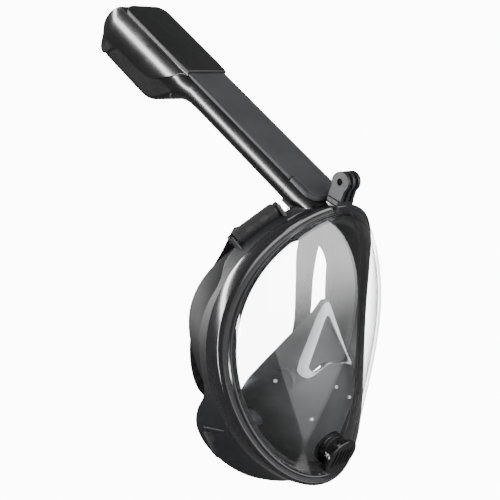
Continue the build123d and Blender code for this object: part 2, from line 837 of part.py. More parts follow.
# ---- head of the snorkel: glossy hood, matte front plate and slotted keel ----
head_end = tube_length + head_length
hood_front = head_plate_sink - tube_rear
hood_rear = hood_front + hood_depth
hood_middle = (hood_front + hood_rear) / 2
hood_inside = head_width - 2 * hood_wall
collar_end = tube_length + hood_wall + 1
hood_body = tube_bar(head_width, hood_depth, hood_corner, tube_length, head_end, hood_middle)
cheek_middle = hood_front + hood_depth / 4
hood_cheeks = tube_bar(head_width, hood_depth / 2, plate_edge, tube_length, head_end, cheek_middle)
hood_space = tube_bar(
    hood_inside,
    hood_depth,
    hood_corner - hood_wall,
    tube_length + hood_wall,
    head_end,
    hood_middle - hood_wall,
)
collar_width = tube_width + 2 * joint_gap
collar_rear = tube_bar(collar_width, tube_depth + 2 * joint_gap, tube_corner, tube_length - 1, collar_end)
collar_from = tube_length - 1
collar_front = tube_bar(collar_width, tube_depth / 2, plate_edge, collar_from, collar_end, -tube_depth / 4)
keel_from = tube_length + keel_start
keel_floor_from = keel_from + keel_slope
keel_floor_to = tube_length + head_dome_rear
inlet_width = keel_neck_width - 2 * keel_wall
inlet_window = tube_bar(
    inlet_width,
    window_reach,
    plate_edge,
    keel_floor_from,
    keel_floor_to - inlet_margin,
    hood_rear,
)
keel_rear = hood_rear + keel_depth
head_plate_front = -tube_rear - head_step
side_plane = Plane(origin=tube_plane(0).origin, x_dir=tube_back, z_dir=(1, 0, 0))


def head_side(shrink):
    """Side outline of the head, carried across it: slanted towards the mask, domed at the far end."""
    with BuildPart(mode=Mode.PRIVATE) as body:
        with BuildSketch(side_plane):
            with BuildLine():
                dome = ThreePointArc(
                    (head_plate_front, tube_length + head_dome_front),
                    (head_dome_middle, head_end),
                    (keel_rear, keel_floor_to),
                )
                Polyline(
                    dome @ 1,
                    (keel_rear, keel_floor_from),
                    (hood_rear, keel_from),
                    (hood_rear, 0),
                    (head_plate_front, 0),
                    dome @ 0,
                )
            make_face()
            if shrink:
                offset(amount=-shrink)
        extrude(amount=head_width, both=True)
    return body.part


head_outside = head_side(0)
screw_x = keel_neck_width / 2 - screw_margin
screw_planes = []
for along in (keel_floor_from + screw_margin, keel_floor_to - screw_margin):
    for side in (-1, 1):
        spot = tube_plane(along, keel_rear).origin + Vector(side * screw_x, 0, 0)
        screw_planes.append(Plane(origin=spot, x_dir=(1, 0, 0), z_dir=tube_back))
with BuildPart() as screw_shanks:
    for spot in screw_planes:
        with BuildSketch(spot.offset(-screw_sink)):
            Circle(screw_radius)
        extrude(amount=-keel_depth)
with BuildPart() as screw_heads:
    for spot in screw_planes:
        with BuildSketch(spot.offset(-screw_sink)):
            Circle(screw_head_radius)
        extrude(amount=screw_head_height)
with BuildPart() as screw_bosses:
    for spot in screw_planes:
        with BuildSketch(spot.offset(-screw_sink)):
            Circle(screw_head_radius + joint_gap)
        extrude(amount=screw_sink - keel_depth)
with BuildPart() as screw_wells:
    for spot in screw_planes:
        with BuildSketch(spot.offset(-screw_sink)):
            Circle(screw_head_radius)
        extrude(amount=screw_sink)
with BuildPart() as hood_room:
    add(hood_space)
    add(head_side(hood_wall), mode=Mode.INTERSECT)
with BuildPart() as head_hood:
    add(hood_body)
    add(hood_cheeks)
    add(head_outside, mode=Mode.INTERSECT)
    add(hood_room.part, mode=Mode.SUBTRACT)
    add(collar_rear, mode=Mode.SUBTRACT)
    add(collar_front, mode=Mode.SUBTRACT)
    add(inlet_window, mode=Mode.SUBTRACT)
    add(screw_shanks.part, mode=Mode.SUBTRACT)
head_hood.part.label = "head_hood"
export_step(head_hood.part, "parts/head_hood.step")

head_plate_thickness = hood_front - head_plate_front
head_plate_middle = (hood_front + head_plate_front) / 2
head_plate_start = tube_length
head_plate_end = tube_length + head_dome_front
head_plate_bar = tube_bar(
    head_width - 2 * head_plate_inset,
    head_plate_thickness,
    plate_edge,
    head_plate_start,
    head_plate_end,
    head_plate_middle,
)
with BuildPart() as head_front_plate:
    add(head_plate_bar)
head_front_plate.part.label = "head_front_plate"
export_step(head_front_plate.part, "parts/head_front_plate.step")

# ---- keel under the hood: a narrow neck, then the vented body that lets the air in ----
keel_body_depth = keel_depth - keel_neck
keel_base = hood_rear + keel_neck
keel_body = tube_bar(keel_width, 2 * keel_body_depth, keel_corner, keel_from, head_end, keel_base)
keel_room = tube_bar(
    keel_width - 2 * keel_wall,
    2 * (keel_body_depth - keel_wall),
    keel_corner - keel_wall,
    keel_from,
    head_end,
    keel_base,
)
slot_pitch = (keel_floor_to - keel_floor_from - 2 * slot_margin) / (slot_count - 1)
with BuildPart() as keel_hollow:
    add(keel_room)
    add(head_side(keel_wall), mode=Mode.INTERSECT)
    with BuildSketch(tube_plane(tube_length)):
        with Locations((0, keel_base + keel_wall)):
            Rectangle(head_width, hood_depth, align=(Align.CENTER, Align.MAX))
    extrude(amount=head_length, mode=Mode.SUBTRACT)
with BuildPart() as inlet_keel:
    add(keel_body)
    add(head_outside, mode=Mode.INTERSECT)
    with BuildSketch(tube_plane(tube_length)):
        with Locations((0, keel_base)):
            Rectangle(head_width, hood_depth, align=(Align.CENTER, Align.MAX))
    extrude(amount=head_length, mode=Mode.SUBTRACT)
    with BuildSketch(tube_plane(keel_from)):
        with Locations((0, hood_rear)):
            Rectangle(keel_neck_width, keel_neck, align=(Align.CENTER, Align.MIN))
    extrude(amount=keel_floor_to - keel_from)
    add(keel_hollow.part, mode=Mode.SUBTRACT)
    add(inlet_window, mode=Mode.SUBTRACT)
    add(screw_bosses.part)
    add(screw_wells.part, mode=Mode.SUBTRACT)
    add(screw_shanks.part, mode=Mode.SUBTRACT)
    for number in range(slot_count):
        slot_at = keel_floor_from + slot_margin + number * slot_pitch - slot_width / 2
        with BuildSketch(tube_plane(slot_at)):
            with Locations((0, keel_rear)):
                Rectangle(slot_length, 3 * keel_wall)
        extrude(amount=slot_width, mode=Mode.SUBTRACT)
inlet_keel.part.label = "inlet_keel"
export_step(inlet_keel.part, "parts/inlet_keel.step")

with BuildPart() as head_screws:
    add(screw_shanks.part)
    add(screw_heads.part)
head_screws.part.label = "head_screws"
export_step(head_screws.part, "parts/head_screws.step")

# ---- float valve in the head: baffle, cage, seat, float and its seal ----
room_width = hood_inside - 2 * joint_gap
room_rear = hood_rear - hood_wall - joint_gap
baffle_front = cage_front - joint_gap - baffle_thickness
bulkhead_start = shell_end + joint_gap
cage_from = tube_length + cage_start
cage_middle = cage_front + cage_depth / 2
float_start = cage_from + cage_wall + flap_gap
seal_from = float_start + float_length
seal_to = seal_from + seal_thickness
seat_from = seal_to + float_travel + flap_gap
seat_to = seat_from + seat_thickness
room_height = room_rear - cage_front + joint_gap
head_room = tube_bar(
    room_width,
    hood_depth,
    hood_corner - hood_wall,
    bulkhead_start,
    seat_to,
    hood_middle - hood_wall - joint_gap,
)
with BuildPart() as head_baffle:
    with BuildSketch(tube_plane(bulkhead_start)):
        with Locations((0, baffle_front)):
            Rectangle(room_width, baffle_thickness, align=(Align.CENTER, Align.MIN))
    extrude(amount=seat_to - bulkhead_start)
    with BuildSketch(tube_plane(bulkhead_start)):
        with Locations((0, baffle_front)):
            Rectangle(room_width, room_height + baffle_thickness, align=(Align.CENTER, Align.MIN))
    extrude(amount=baffle_thickness)
    add(head_room, mode=Mode.INTERSECT)
head_baffle.part.label = "head_baffle"
export_step(head_baffle.part, "parts/head_baffle.step")

cage_outer = tube_bar(cage_width, cage_depth, cage_wall, cage_from, seat_from, cage_middle)
cage_space = tube_bar(
    cage_width - 2 * cage_wall,
    cage_depth - 2 * cage_wall,
    cage_wall / 2,
    cage_from + cage_wall,
    seat_from + 1,
    cage_middle,
)
window_depth = cage_depth - 4 * cage_wall
window_from = cage_from + 3 * cage_wall
window_to = seat_from - 3 * cage_wall
cage_window = tube_bar(2 * cage_width, window_depth, cage_wall, window_from, window_to, cage_middle)
cage_floor_hole = tube_bar(cage_width / 2, cage_depth / 2, cage_wall, cage_from - 1, window_from, cage_middle)
with BuildPart() as float_cage:
    add(cage_outer)
    add(cage_space, mode=Mode.SUBTRACT)
    add(cage_window, mode=Mode.SUBTRACT)
    add(cage_floor_hole, mode=Mode.SUBTRACT)
float_cage.part.label = "float_cage"
export_step(float_cage.part, "parts/float_cage.step")

mouth_width = cage_width - seat_land
mouth_depth = cage_depth - seat_land
seat_mouth = tube_bar(mouth_width, mouth_depth, cage_wall, seat_from - 1, seat_to + 1, cage_middle)
with BuildPart() as float_valve_seat:
    with BuildSketch(tube_plane(seat_from)):
        with Locations((0, cage_front - joint_gap)):
            Rectangle(room_width, room_height, align=(Align.CENTER, Align.MIN))
    extrude(amount=seat_thickness)
    add(head_room, mode=Mode.INTERSECT)
    add(seat_mouth, mode=Mode.SUBTRACT)
float_valve_seat.part.label = "float_valve_seat"
export_step(float_valve_seat.part, "parts/float_valve_seat.step")

float_width = cage_width - 2 * cage_wall - 2 * float_play
float_depth = cage_depth - 2 * cage_wall - 2 * float_play
float_bar = tube_bar(float_width, float_depth, cage_wall, float_start, seal_from, cage_middle)
with BuildPart() as float_body:
    add(float_bar)
float_body.part.label = "float_body"
export_step(float_body.part, "parts/float_body.step")

seal_bar = tube_bar(float_width, float_depth, cage_wall, seal_from, seal_to, cage_middle)
with BuildPart() as float_seal:
    add(seal_bar)
float_seal.part.label = "float_seal"
export_step(float_seal.part, "parts/float_seal.step")

# ---- release latch behind the socket, with its torsion spring ----
hook_tip = latch_pin_depth - tube_rear - joint_gap
spring_radius = latch_pin_radius + spring_fit + spring_wire
with BuildPart() as release_latch:
    with BuildSketch(latch_plane(-latch_half)):
        with Locations((latch_nose, 0)):
            Rectangle(latch_nose + latch_tail, latch_thickness, align=(Align.MAX, Align.CENTER))
        Circle(latch_boss_radius)
        with Locations((latch_nose, 0)):
            Rectangle(latch_hook, hook_tip, align=(Align.MAX, Align.MIN))
        Circle(latch_pin_radius + latch_pin_fit, mode=Mode.SUBTRACT)
    extrude(amount=latch_width)
    with BuildSketch(latch_plane(-spring_width / 2 - latch_gap)):
        Circle(spring_radius + latch_gap)
    extrude(amount=spring_width + 2 * latch_gap, mode=Mode.SUBTRACT)
release_latch.part.label = "release_latch"
export_step(release_latch.part, "parts/release_latch.step")

with BuildPart() as latch_spring:
    with BuildSketch(latch_plane(-spring_width / 2)):
        Circle(spring_radius)
        Circle(latch_pin_radius + spring_fit, mode=Mode.SUBTRACT)
    extrude(amount=spring_width)
latch_spring.part.label = "latch_spring"
export_step(latch_spring.part, "parts/latch_spring.step")


# ---- head harness: a strap from each bar to the crown pad ----
def strap(bar, side, width, stations, entry):
    """Loop round a strap bar, and the band that runs on from it to enter the pad in its own direction."""
    loop = along_bar(bar, side, loop_radius, width)
    eye = along_bar(bar, side, loop_radius - strap_thickness, width)
    spots = [on_side(side, bar[0]) + on_side(side, place) for place, across_way, wide in stations]
    runs = [spots[1] - spots[0]]
    for before, after in zip(spots, spots[2:]):
        runs.append(after - before)
    runs.append(on_side(side, entry))
    with BuildPart(mode=Mode.PRIVATE) as band:
        for spot, run, (place, across_way, wide) in zip(spots, runs, stations):
            with BuildSketch(Plane(origin=spot, x_dir=on_side(side, across_way), z_dir=run)):
                Rectangle(wide, strap_thickness)
        loft(ruled=True)
        add(loop)
        add(eye, mode=Mode.SUBTRACT)
    return band.part


for side, name in ((-1, "right"), (1, "left")):
    upper_band = strap(upper_bar, side, upper_strap_width, upper_stations, (0, 0, -1))
    with BuildPart() as upper_strap:
        add(upper_band)
    upper_strap.part.label = f"upper_strap_{name}"
    export_step(upper_strap.part, f"parts/upper_strap_{name}.step")
    lower_band = strap(lower_bar, side, lower_strap_width, lower_stations, (-1, 0, 0))
    with BuildPart() as lower_strap:
        add(lower_band)
    lower_strap.part.label = f"lower_strap_{name}"
    export_step(lower_strap.part, f"parts/lower_strap_{name}.step")

with BuildPart() as crown_pad:
    with BuildSketch(Plane.XZ.offset(-pad_y - pad_thickness / 2)):
        with Locations((0, pad_z)):
            RectangleRounded(pad_width, pad_height, pad_corner)
    extrude(amount=pad_thickness)
crown_pad.part.label = "crown_pad"
export_step(crown_pad.part, "parts/crown_pad.step")
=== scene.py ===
# %% [markdown]
# # A full face snorkel, surface by surface
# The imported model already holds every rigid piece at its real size, so this lesson starts from it and gives
# each piece the skin that the real one has. Moulded plastic keeps its machined shape and gets softened edges
# and a finish. Everything that follows the rim of the mask, and everything soft, is drawn again as a smooth
# surface, because silicone, webbing and a clear lens show every facet.

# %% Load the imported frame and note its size
import json
import bmesh
import bpy
import numpy as np
from mathutils import Matrix, Vector


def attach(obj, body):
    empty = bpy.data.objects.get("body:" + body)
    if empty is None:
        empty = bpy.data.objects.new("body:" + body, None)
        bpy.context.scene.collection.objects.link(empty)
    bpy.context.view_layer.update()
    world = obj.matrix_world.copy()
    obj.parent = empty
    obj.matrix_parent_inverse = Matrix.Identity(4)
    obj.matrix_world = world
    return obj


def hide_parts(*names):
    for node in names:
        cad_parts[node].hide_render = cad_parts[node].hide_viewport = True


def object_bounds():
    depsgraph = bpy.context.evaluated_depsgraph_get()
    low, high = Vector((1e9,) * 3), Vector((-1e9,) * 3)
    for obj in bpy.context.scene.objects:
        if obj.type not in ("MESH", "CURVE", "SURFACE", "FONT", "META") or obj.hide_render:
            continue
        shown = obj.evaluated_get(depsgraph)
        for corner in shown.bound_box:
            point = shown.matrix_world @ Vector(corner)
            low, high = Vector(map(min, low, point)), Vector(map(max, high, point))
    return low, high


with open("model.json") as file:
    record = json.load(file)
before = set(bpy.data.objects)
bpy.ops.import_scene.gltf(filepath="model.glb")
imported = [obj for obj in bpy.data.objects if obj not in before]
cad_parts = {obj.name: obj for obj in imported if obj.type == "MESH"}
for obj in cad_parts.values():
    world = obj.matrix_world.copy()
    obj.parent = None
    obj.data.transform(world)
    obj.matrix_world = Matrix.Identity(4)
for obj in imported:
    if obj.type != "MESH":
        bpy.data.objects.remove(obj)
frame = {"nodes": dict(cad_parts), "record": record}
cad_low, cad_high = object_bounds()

MM = 0.001
nodes = frame["nodes"]

# %% [markdown]
# ## Grids that become meshes
# Nearly every surface here is a grid of points: one direction follows a path, the other goes round a
# profile. The whole grid is one numpy array, and the faces are worked out from its index. A closed skin has a
# signed volume, so its sign tells which way the faces look, and they are turned round when it is negative.

# %% From a grid of points to a mesh
SMOOTH_ANGLE = np.radians(38)
MERGE_WITHIN = 2e-6
NO_AREA_WITHIN = 1e-7


def grid_faces(rows, columns, wrap_rows, wrap_columns):
    """Corner numbers of each four-sided face: a point, its neighbour down, across-and-down, and across."""
    index = np.arange(rows * columns).reshape(rows, columns)
    if wrap_rows:
        index = np.vstack([index, index[:1]])
    if wrap_columns:
        index = np.hstack([index, index[:, :1]])
    corners = [index[:-1, :-1], index[1:, :-1], index[1:, 1:], index[:-1, 1:]]
    return np.stack(corners, axis=-1).reshape(-1, 4)


def signed_volume(points, faces):
    """Six times the volume: each face adds the triple product of its corners, seen from the origin."""
    a, b, c, d = (points[faces[:, corner]] for corner in range(4))
    return np.sum(a * np.cross(b, c)) + np.sum(a * np.cross(c, d))


def capped(points):
    """The grid with its first and last row drawn together in their own middles, which closes both ends."""
    first = np.broadcast_to(points[:1].mean(axis=1, keepdims=True), points[:1].shape)
    last = np.broadcast_to(points[-1:].mean(axis=1, keepdims=True), points[-1:].shape)
    return np.concatenate([first, points, last])


def put_in_scene(name, data):
    """A new object that holds this data, at the origin."""
    made = bpy.data.objects.new(name, data)
    bpy.context.scene.collection.objects.link(made)
    return made


def grid_mesh(name, points, wrap):
    """The mesh of a grid given in millimetres: four-sided faces, turned to look outwards."""
    faces = grid_faces(*points.shape[:2], *wrap)
    flat = points.reshape(-1, 3) * MM
    if signed_volume(flat, faces) < 0:
        faces = faces[:, ::-1]
    mesh = bpy.data.meshes.new(name)
    mesh.from_pydata(flat.tolist(), [], faces.tolist())
    return mesh


def weld(mesh):
    """Merges the points that lie on each other, as at a pole or a seam, and drops faces of no area."""
    work = bmesh.new()
    work.from_mesh(mesh)
    bmesh.ops.remove_doubles(work, verts=work.verts, dist=MERGE_WITHIN)
    bmesh.ops.dissolve_degenerate(work, edges=work.edges, dist=NO_AREA_WITHIN)
    work.to_mesh(mesh)
    work.free()


def skin(name, points, body, finish, wrap=(False, True), uv=None):
    """A shown piece from a grid of points in millimetres, riding on a body, with a finish."""
    mesh = grid_mesh(name, points, wrap)
    if uv is not None:
        layer = mesh.uv_layers.new(name="along_and_across")
        corner_points = np.empty(len(mesh.loops), np.int32)
        mesh.loops.foreach_get("vertex_index", corner_points)
        layer.data.foreach_set("uv", uv.reshape(-1, 2)[corner_points].astype(np.float32).ravel())
    weld(mesh)
    piece = put_in_scene(name, mesh)
    finish_piece(piece, body, finish)
    return piece


def finish_piece(piece, body, finish):
    """Smooth shading that keeps real corners sharp, a material and a body to ride on."""
    mesh = piece.data
    mesh.polygons.foreach_set("use_smooth", np.ones(len(mesh.polygons), bool))
    mesh.set_sharp_from_angle(angle=SMOOTH_ANGLE)
    mesh.materials.clear()
    mesh.materials.append(finish)
    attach(piece, body)
    print(piece.name, len(mesh.polygons), "faces")


# %% Curves and rounded outlines
def through(points, count):
    """A smooth curve through chosen points: a Catmull-Rom cubic between each pair, evenly sampled."""
    knots = np.asarray(points, float)
    ends = np.concatenate([[2 * knots[0] - knots[1]], knots, [2 * knots[-1] - knots[-2]]])
    at = np.linspace(0, len(knots) - 1, count)
    start = np.minimum(at.astype(int), len(knots) - 2)
    s = (at - start)[:, None]
    a, b, c, d = (ends[start + step] for step in range(4))
    square = (2 * a - 5 * b + 4 * c - d) * s**2
    return 0.5 * (2 * b + (c - a) * s + square + (3 * b - a - 3 * c + d) * s**3)


def rounded(corners, steps):
    """A closed outline whose corners, given as two places and a radius, are arcs tangent to both sides."""
    places = np.array([corner[:2] for corner in corners], float)
    outline = []
    for number, (_, _, radius) in enumerate(corners):
        here = places[number]
        to_last = places[number - 1] - here
        to_next = places[(number + 1) % len(places)] - here
        to_last /= np.linalg.norm(to_last)
        to_next /= np.linalg.norm(to_next)
        half = np.arccos(np.clip(to_last @ to_next, -1, 1)) / 2
        middle = (to_last + to_next) / np.linalg.norm(to_last + to_next)
        centre = here + middle * radius / np.sin(half)
        first = here + to_last * radius / np.tan(half) - centre
        last = here + to_next * radius / np.tan(half) - centre
        share = np.linspace(0, 1, steps)[:, None]
        blend = first * (1 - share) + last * share
        blend *= radius / np.maximum(np.linalg.norm(blend, axis=1, keepdims=True), 1e-9)
        outline.append(centre + blend)
    return np.concatenate(outline)


SQUARE = ((-1, -1), (1, -1), (1, 1), (-1, 1))


def rounded_box(half_across, half_along, radius, steps):
    """A rounded rectangle about the middle, from its half sides."""
    return rounded([(x * half_across, y * half_along, radius) for x, y in SQUARE], steps)


print("a rounded square has", len(rounded_box(10.0, 10.0, 2.0, 5)), "points")


# %% [markdown]
# ## The rim: one outline, one bent surface
# The whole mask hangs on one egg-shaped outline, bent back round the face like a strip on a drum. A point of
# the rim needs two numbers: how far it lies inside the outline, its inset, and how deep it lies behind the
# front edge. A ring such as the bezel is then a small closed profile of insets and depths, carried round.

# %% The egg outline and the bent rim
HALF_WIDTH = 87.0
HALF_HEIGHT = 104.5
SHOULDER = 0.058
CORNER = 0.031
SKIRT_DEPTH = 38.0
RIM_RADIUS = 115.0
TILT = np.radians(3.0)
AROUND = 288


def egg(inset, turn):
    """The outline at a turn from the top: width by sine, swollen by two cosines, and height by cosine."""
    swell = 1 + SHOULDER * np.cos(turn) + CORNER * np.cos(2 * turn)
    return (HALF_WIDTH - inset) * np.sin(turn) * swell, (HALF_HEIGHT - inset) * np.cos(turn)


def rim_y(x, z, depth):
    """How far back the rim lies: a drum of the rim's radius, leaning by the tilt, at a depth."""
    front = RIM_RADIUS - SKIRT_DEPTH + depth
    return front - (np.sqrt(RIM_RADIUS**2 - x**2) + z * np.sin(TILT)) / np.cos(TILT)


def rim_points(inset, depth, turn):
    """Points of the rim at insets, depths and turns, which are arrays of one shape."""
    x, z = egg(inset, turn)
    return np.stack([x, rim_y(x, z, depth), z], axis=-1)


def rim_ring(profile):
    """A closed profile of insets and depths carried once round the outline."""
    turn = np.linspace(0, 2 * np.pi, AROUND, endpoint=False)[:, None]
    inset = np.broadcast_to(profile[:, 0], (AROUND, len(profile)))
    depth = np.broadcast_to(profile[:, 1], (AROUND, len(profile)))
    return rim_points(inset, depth, np.broadcast_to(turn, inset.shape))


outline_x, outline_z = egg(0.0, np.linspace(0, 2 * np.pi, AROUND))
print("outline", round(float(np.ptp(outline_x)), 1), "by", round(float(np.ptp(outline_z)), 1), "mm")

# %% [markdown]
# ## Finishes
# A moulded part is never one flat colour. Its gloss changes a little where it was handled and where the mould
# was worn, and a matte part has a grain a fraction of a millimetre wide. Each finish starts from one recipe:
# a Principled shader, a broad noise that varies the tone and roughness, and a fine noise for the bump.

# %% A moulded finish
PATCHES = 35.0
COAT_ROUGH = 0.06
NOISE_RANGE = {"From Min": 0.3, "From Max": 0.7}
RAMP_ENDS = (0.35, 0.65)


def new_material(name):
    """A node material, its tree, and its Principled shader."""
    material = bpy.data.materials.new(name)
    material.use_nodes = True
    tree = material.node_tree
    return material, tree, tree.nodes["Principled BSDF"]


def set_inputs(shader, values):
    """Writes each value on the shader's own socket of that name."""
    for socket, value in values.items():
        shader.inputs[socket].default_value = value


def new_node(tree, kind, values):
    """A new shader node of a kind, with some of its sockets set."""
    made = tree.nodes.new("ShaderNode" + kind)
    set_inputs(made, values)
    return made


def noise(tree, scale, detail=3.0):
    """A noise texture on the piece's own coordinates, in features per metre."""
    place = tree.nodes.new("ShaderNodeTexCoord")
    texture = new_node(tree, "TexNoise", {"Scale": scale, "Detail": detail})
    tree.links.new(place.outputs["Object"], texture.inputs["Vector"])
    return texture.outputs["Fac"]


def spread(tree, value, low, high):
    """Stretches the middle of a noise to run from a low to a high value."""
    ranges = new_node(tree, "MapRange", {**NOISE_RANGE, "To Min": low, "To Max": high})
    tree.links.new(value, ranges.inputs["Value"])
    return ranges.outputs["Result"]


def bump(tree, shader, height, distance):
    """Relief of a real height, in metres, on the shader's normal."""
    relief = new_node(tree, "Bump", {"Distance": distance})
    tree.links.new(height, relief.inputs["Height"])
    tree.links.new(relief.outputs["Normal"], shader.inputs["Normal"])


def tint(tree, shader, value, dark, light):
    """A colour that wanders between two greys along a noise."""
    ramp = tree.nodes.new("ShaderNodeValToRGB")
    for end, position, grey in zip(ramp.color_ramp.elements, RAMP_ENDS, (dark, light)):
        end.position = position
        end.color = (*grey, 1)
    tree.links.new(value, ramp.inputs["Fac"])
    tree.links.new(ramp.outputs["Color"], shader.inputs["Base Color"])


def vary(tree, shader, broad, greys, worn, rough, grain, height):
    """The shared recipe: a broad noise tints, a worn one sets the roughness, and a fine grain is raised."""
    tint(tree, shader, broad, *greys)
    tree.links.new(spread(tree, worn, *rough), shader.inputs["Roughness"])
    bump(tree, shader, grain, height)


def moulded(name, dark, light, rough, grain, height, coat=0.0):
    """Moulded plastic or rubber: two close greys, a range of roughness, and a grain's width and height."""
    material, tree, shader = new_material(name)
    broad = noise(tree, PATCHES)
    vary(tree, shader, broad, (dark, light), broad, rough, noise(tree, 1 / grain, 2.0), height)
    set_inputs(shader, {"Coat Weight": coat, "Coat Roughness": COAT_ROUGH})
    return material


# Each row: a dark and a light grey, the range of roughness, the grain's width and height in metres, the coat.
MOULDED = {
    "frame satin": ((0.0095, 0.0098, 0.011), (0.0125, 0.0128, 0.0145), (0.38, 0.46), 0.0006, 0.000012),
    "bezel gloss": ((0.010, 0.010, 0.011), (0.013, 0.013, 0.0145), (0.13, 0.2), 0.004, 0.00001, 0.5),
    "shell gloss": ((0.0045, 0.0045, 0.005), (0.006, 0.006, 0.0065), (0.17, 0.22), 0.005, 0.00001, 0.25),
    "plate grain": ((0.034, 0.0345, 0.037), (0.041, 0.0415, 0.0445), (0.5, 0.58), 0.0006, 0.00001),
    "head plate grain": ((0.007, 0.007, 0.0076), (0.009, 0.009, 0.0098), (0.42, 0.5), 0.0006, 0.00001),
    "black silicone": ((0.006, 0.006, 0.0065), (0.009, 0.009, 0.0095), (0.42, 0.55), 0.0012, 0.00002),
    "inner plastic": ((0.05, 0.05, 0.052), (0.06, 0.06, 0.062), (0.35, 0.45), 0.0008, 0.00001),
    "float foam": ((0.62, 0.61, 0.57), (0.70, 0.69, 0.65), (0.7, 0.85), 0.0007, 0.00012),
    "pad fabric": ((0.012, 0.012, 0.013), (0.02, 0.02, 0.021), (0.8, 0.9), 0.0006, 0.0002),
}
finishes = {name: moulded(name, *numbers) for name, numbers in MOULDED.items()}
shell_gloss = finishes["shell gloss"]
black_silicone = finishes["black silicone"]
print("moulded finishes:", len(finishes))


# %% Steel, soft silicone, the clear lens and webbing
def stainless_steel():
    """Stainless steel: bright metal whose tone and roughness wander a little, with a very fine grain."""
    material, tree, shader = new_material("stainless steel")
    shader.inputs["Metallic"].default_value = 1.0
    greys = ((0.55, 0.55, 0.56), (0.66, 0.66, 0.67))
    broad, worn, grain = (noise(tree, scale) for scale in (60.0, 800.0, 2500.0))
    vary(tree, shader, broad, greys, worn, (0.2, 0.38), grain, 0.00001)
    return material


def pocket_silicone(name, dark, light, alpha):
    """Silicone that lets a little light through, with a soft skin."""
    material, tree, shader = new_material(name)
    cloud = noise(tree, 28.0)
    vary(tree, shader, cloud, (dark, light), cloud, (0.30, 0.42), noise(tree, 900.0), 0.00002)
    depth = (0.004, 0.004, 0.004)
    set_inputs(shader, {"Subsurface Weight": 0.35, "Subsurface Radius": depth, "Alpha": alpha})
    return material


def clear_polycarbonate():
    """Polycarbonate: light passes through, and a film of reflection grows towards the edges."""
    material, tree, _ = new_material("clear lens")
    tree.nodes.clear()
    output = tree.nodes.new("ShaderNodeOutputMaterial")
    through_light = new_node(tree, "BsdfTransparent", {"Color": (0.955, 0.96, 0.965, 1)})
    mirror = new_node(tree, "BsdfGlossy", {"Roughness": 0.03})
    facing = new_node(tree, "LayerWeight", {"Blend": 0.5})
    steep = new_node(tree, "Math", {1: 4.0})
    steep.operation = "POWER"
    share = new_node(tree, "MapRange", {"To Min": 0.09, "To Max": 0.85})
    mix = tree.nodes.new("ShaderNodeMixShader")
    tree.links.new(facing.outputs["Facing"], steep.inputs[0])
    tree.links.new(steep.outputs["Value"], share.inputs["Value"])
    tree.links.new(share.outputs["Result"], mix.inputs["Fac"])
    tree.links.new(through_light.outputs["BSDF"], mix.inputs[1])
    tree.links.new(mirror.outputs["BSDF"], mix.inputs[2])
    tree.links.new(mix.outputs["Shader"], output.inputs["Surface"])
    return material


WAVE_LENGTH = 0.314  # of the wave texture at a scale of one, in metres
RIBS = (("X", 900.0 / (2 * np.pi)), ("Y", 500.0 / (2 * np.pi)))


def webbing():
    """Woven elastic: ribs 7 mm apart along the strap and 12.6 mm apart over its width, multiplied."""
    material, tree, shader = new_material("strap webbing")
    place = tree.nodes.new("ShaderNodeUVMap")
    place.uv_map = "along_and_across"
    both = tree.nodes.new("ShaderNodeMath")
    both.operation = "MULTIPLY"
    for number, (axis, per_metre) in enumerate(RIBS):
        wave = new_node(tree, "TexWave", {"Scale": per_metre * WAVE_LENGTH, "Distortion": 0.6})
        wave.bands_direction = axis
        tree.links.new(place.outputs["UV"], wave.inputs["Vector"])
        tree.links.new(wave.outputs["Fac"], both.inputs[number])
    tint(tree, shader, both.outputs["Value"], (0.004, 0.004, 0.0045), (0.016, 0.016, 0.017))
    set_inputs(shader, {"Roughness": 0.75, "Sheen Weight": 0.25, "Sheen Roughness": 0.4})
    bump(tree, shader, both.outputs["Value"], 0.00025)
    return material


grey_silicone = pocket_silicone("grey silicone", (0.042, 0.0425, 0.0445), (0.068, 0.069, 0.072), 0.98)
# The thin dark silicone is painted dark: painted shade of the hollow behind the pocket's window.
shade_dark_silicone = pocket_silicone("thin silicone painted shade", (0.02, 0.0205, 0.023), (0.027, 0.0275, 0.031), 1.0)
# The pale silicone is painted near white: a painted highlight on the pocket's bridge and studs.
highlight_pale_silicone = pocket_silicone("pale silicone painted highlight", (0.86, 0.865, 0.87), (0.92, 0.925, 0.93), 1.0)
clear_lens = clear_polycarbonate()
strap_webbing = webbing()
print("finishes made:", len(bpy.data.materials))

# %% [markdown]
# ## Rigid pieces keep their machined shape
# The camera foot, the drain cover, the latch and the tube's long plate are right as they are. Their meshes
# stay untouched: a Weld modifier joins the loose triangles, and a small Bevel breaks the sharp edges, so that
# each edge catches a thin line of light as a moulded one does. Hidden pieces get only their finish.

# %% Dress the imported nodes
FINISH_OF_SLOT = {
    "frame_plastic": finishes["frame satin"],
    "bezel_plastic": finishes["bezel gloss"],
    "shell_plastic": shell_gloss,
    "plate_plastic": finishes["plate grain"],
    "clear_lens": clear_lens,
    "black_silicone": black_silicone,
    "grey_silicone": grey_silicone,
    "strap_webbing": strap_webbing,
    "inner_plastic": finishes["inner plastic"],
    "float_foam": finishes["float foam"],
    "steel": stainless_steel(),
}
EDGE_OF_NODE = {
    "camera_mount": 0.5,
    "chin_valve_cover": 0.4,
    "neck_front_panel": 0.4,
    "release_latch": 0.4,
    "tube_front_plate": 0.4,
}
JOIN_WITHIN = 0.00001
SHARP_ANGLE = np.radians(40)


def dress(node, finish, edge):
    """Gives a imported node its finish, and breaks its sharp edges by a small radius in millimetres."""
    mesh = node.data
    mesh.materials.clear()
    mesh.materials.append(finish)
    if edge:
        join = node.modifiers.new("join triangles", "WELD")
        join.merge_threshold = JOIN_WITHIN
        soften = node.modifiers.new("soften edges", "BEVEL")
        soften.width = edge * MM
        soften.segments = 2
        soften.limit_method = "ANGLE"
        soften.angle_limit = SHARP_ANGLE


for part in frame["record"]["subparts"]:
    name = part["node"]
    dress(nodes[name], FINISH_OF_SLOT[part["material_slot"]], EDGE_OF_NODE.get(name, 0))

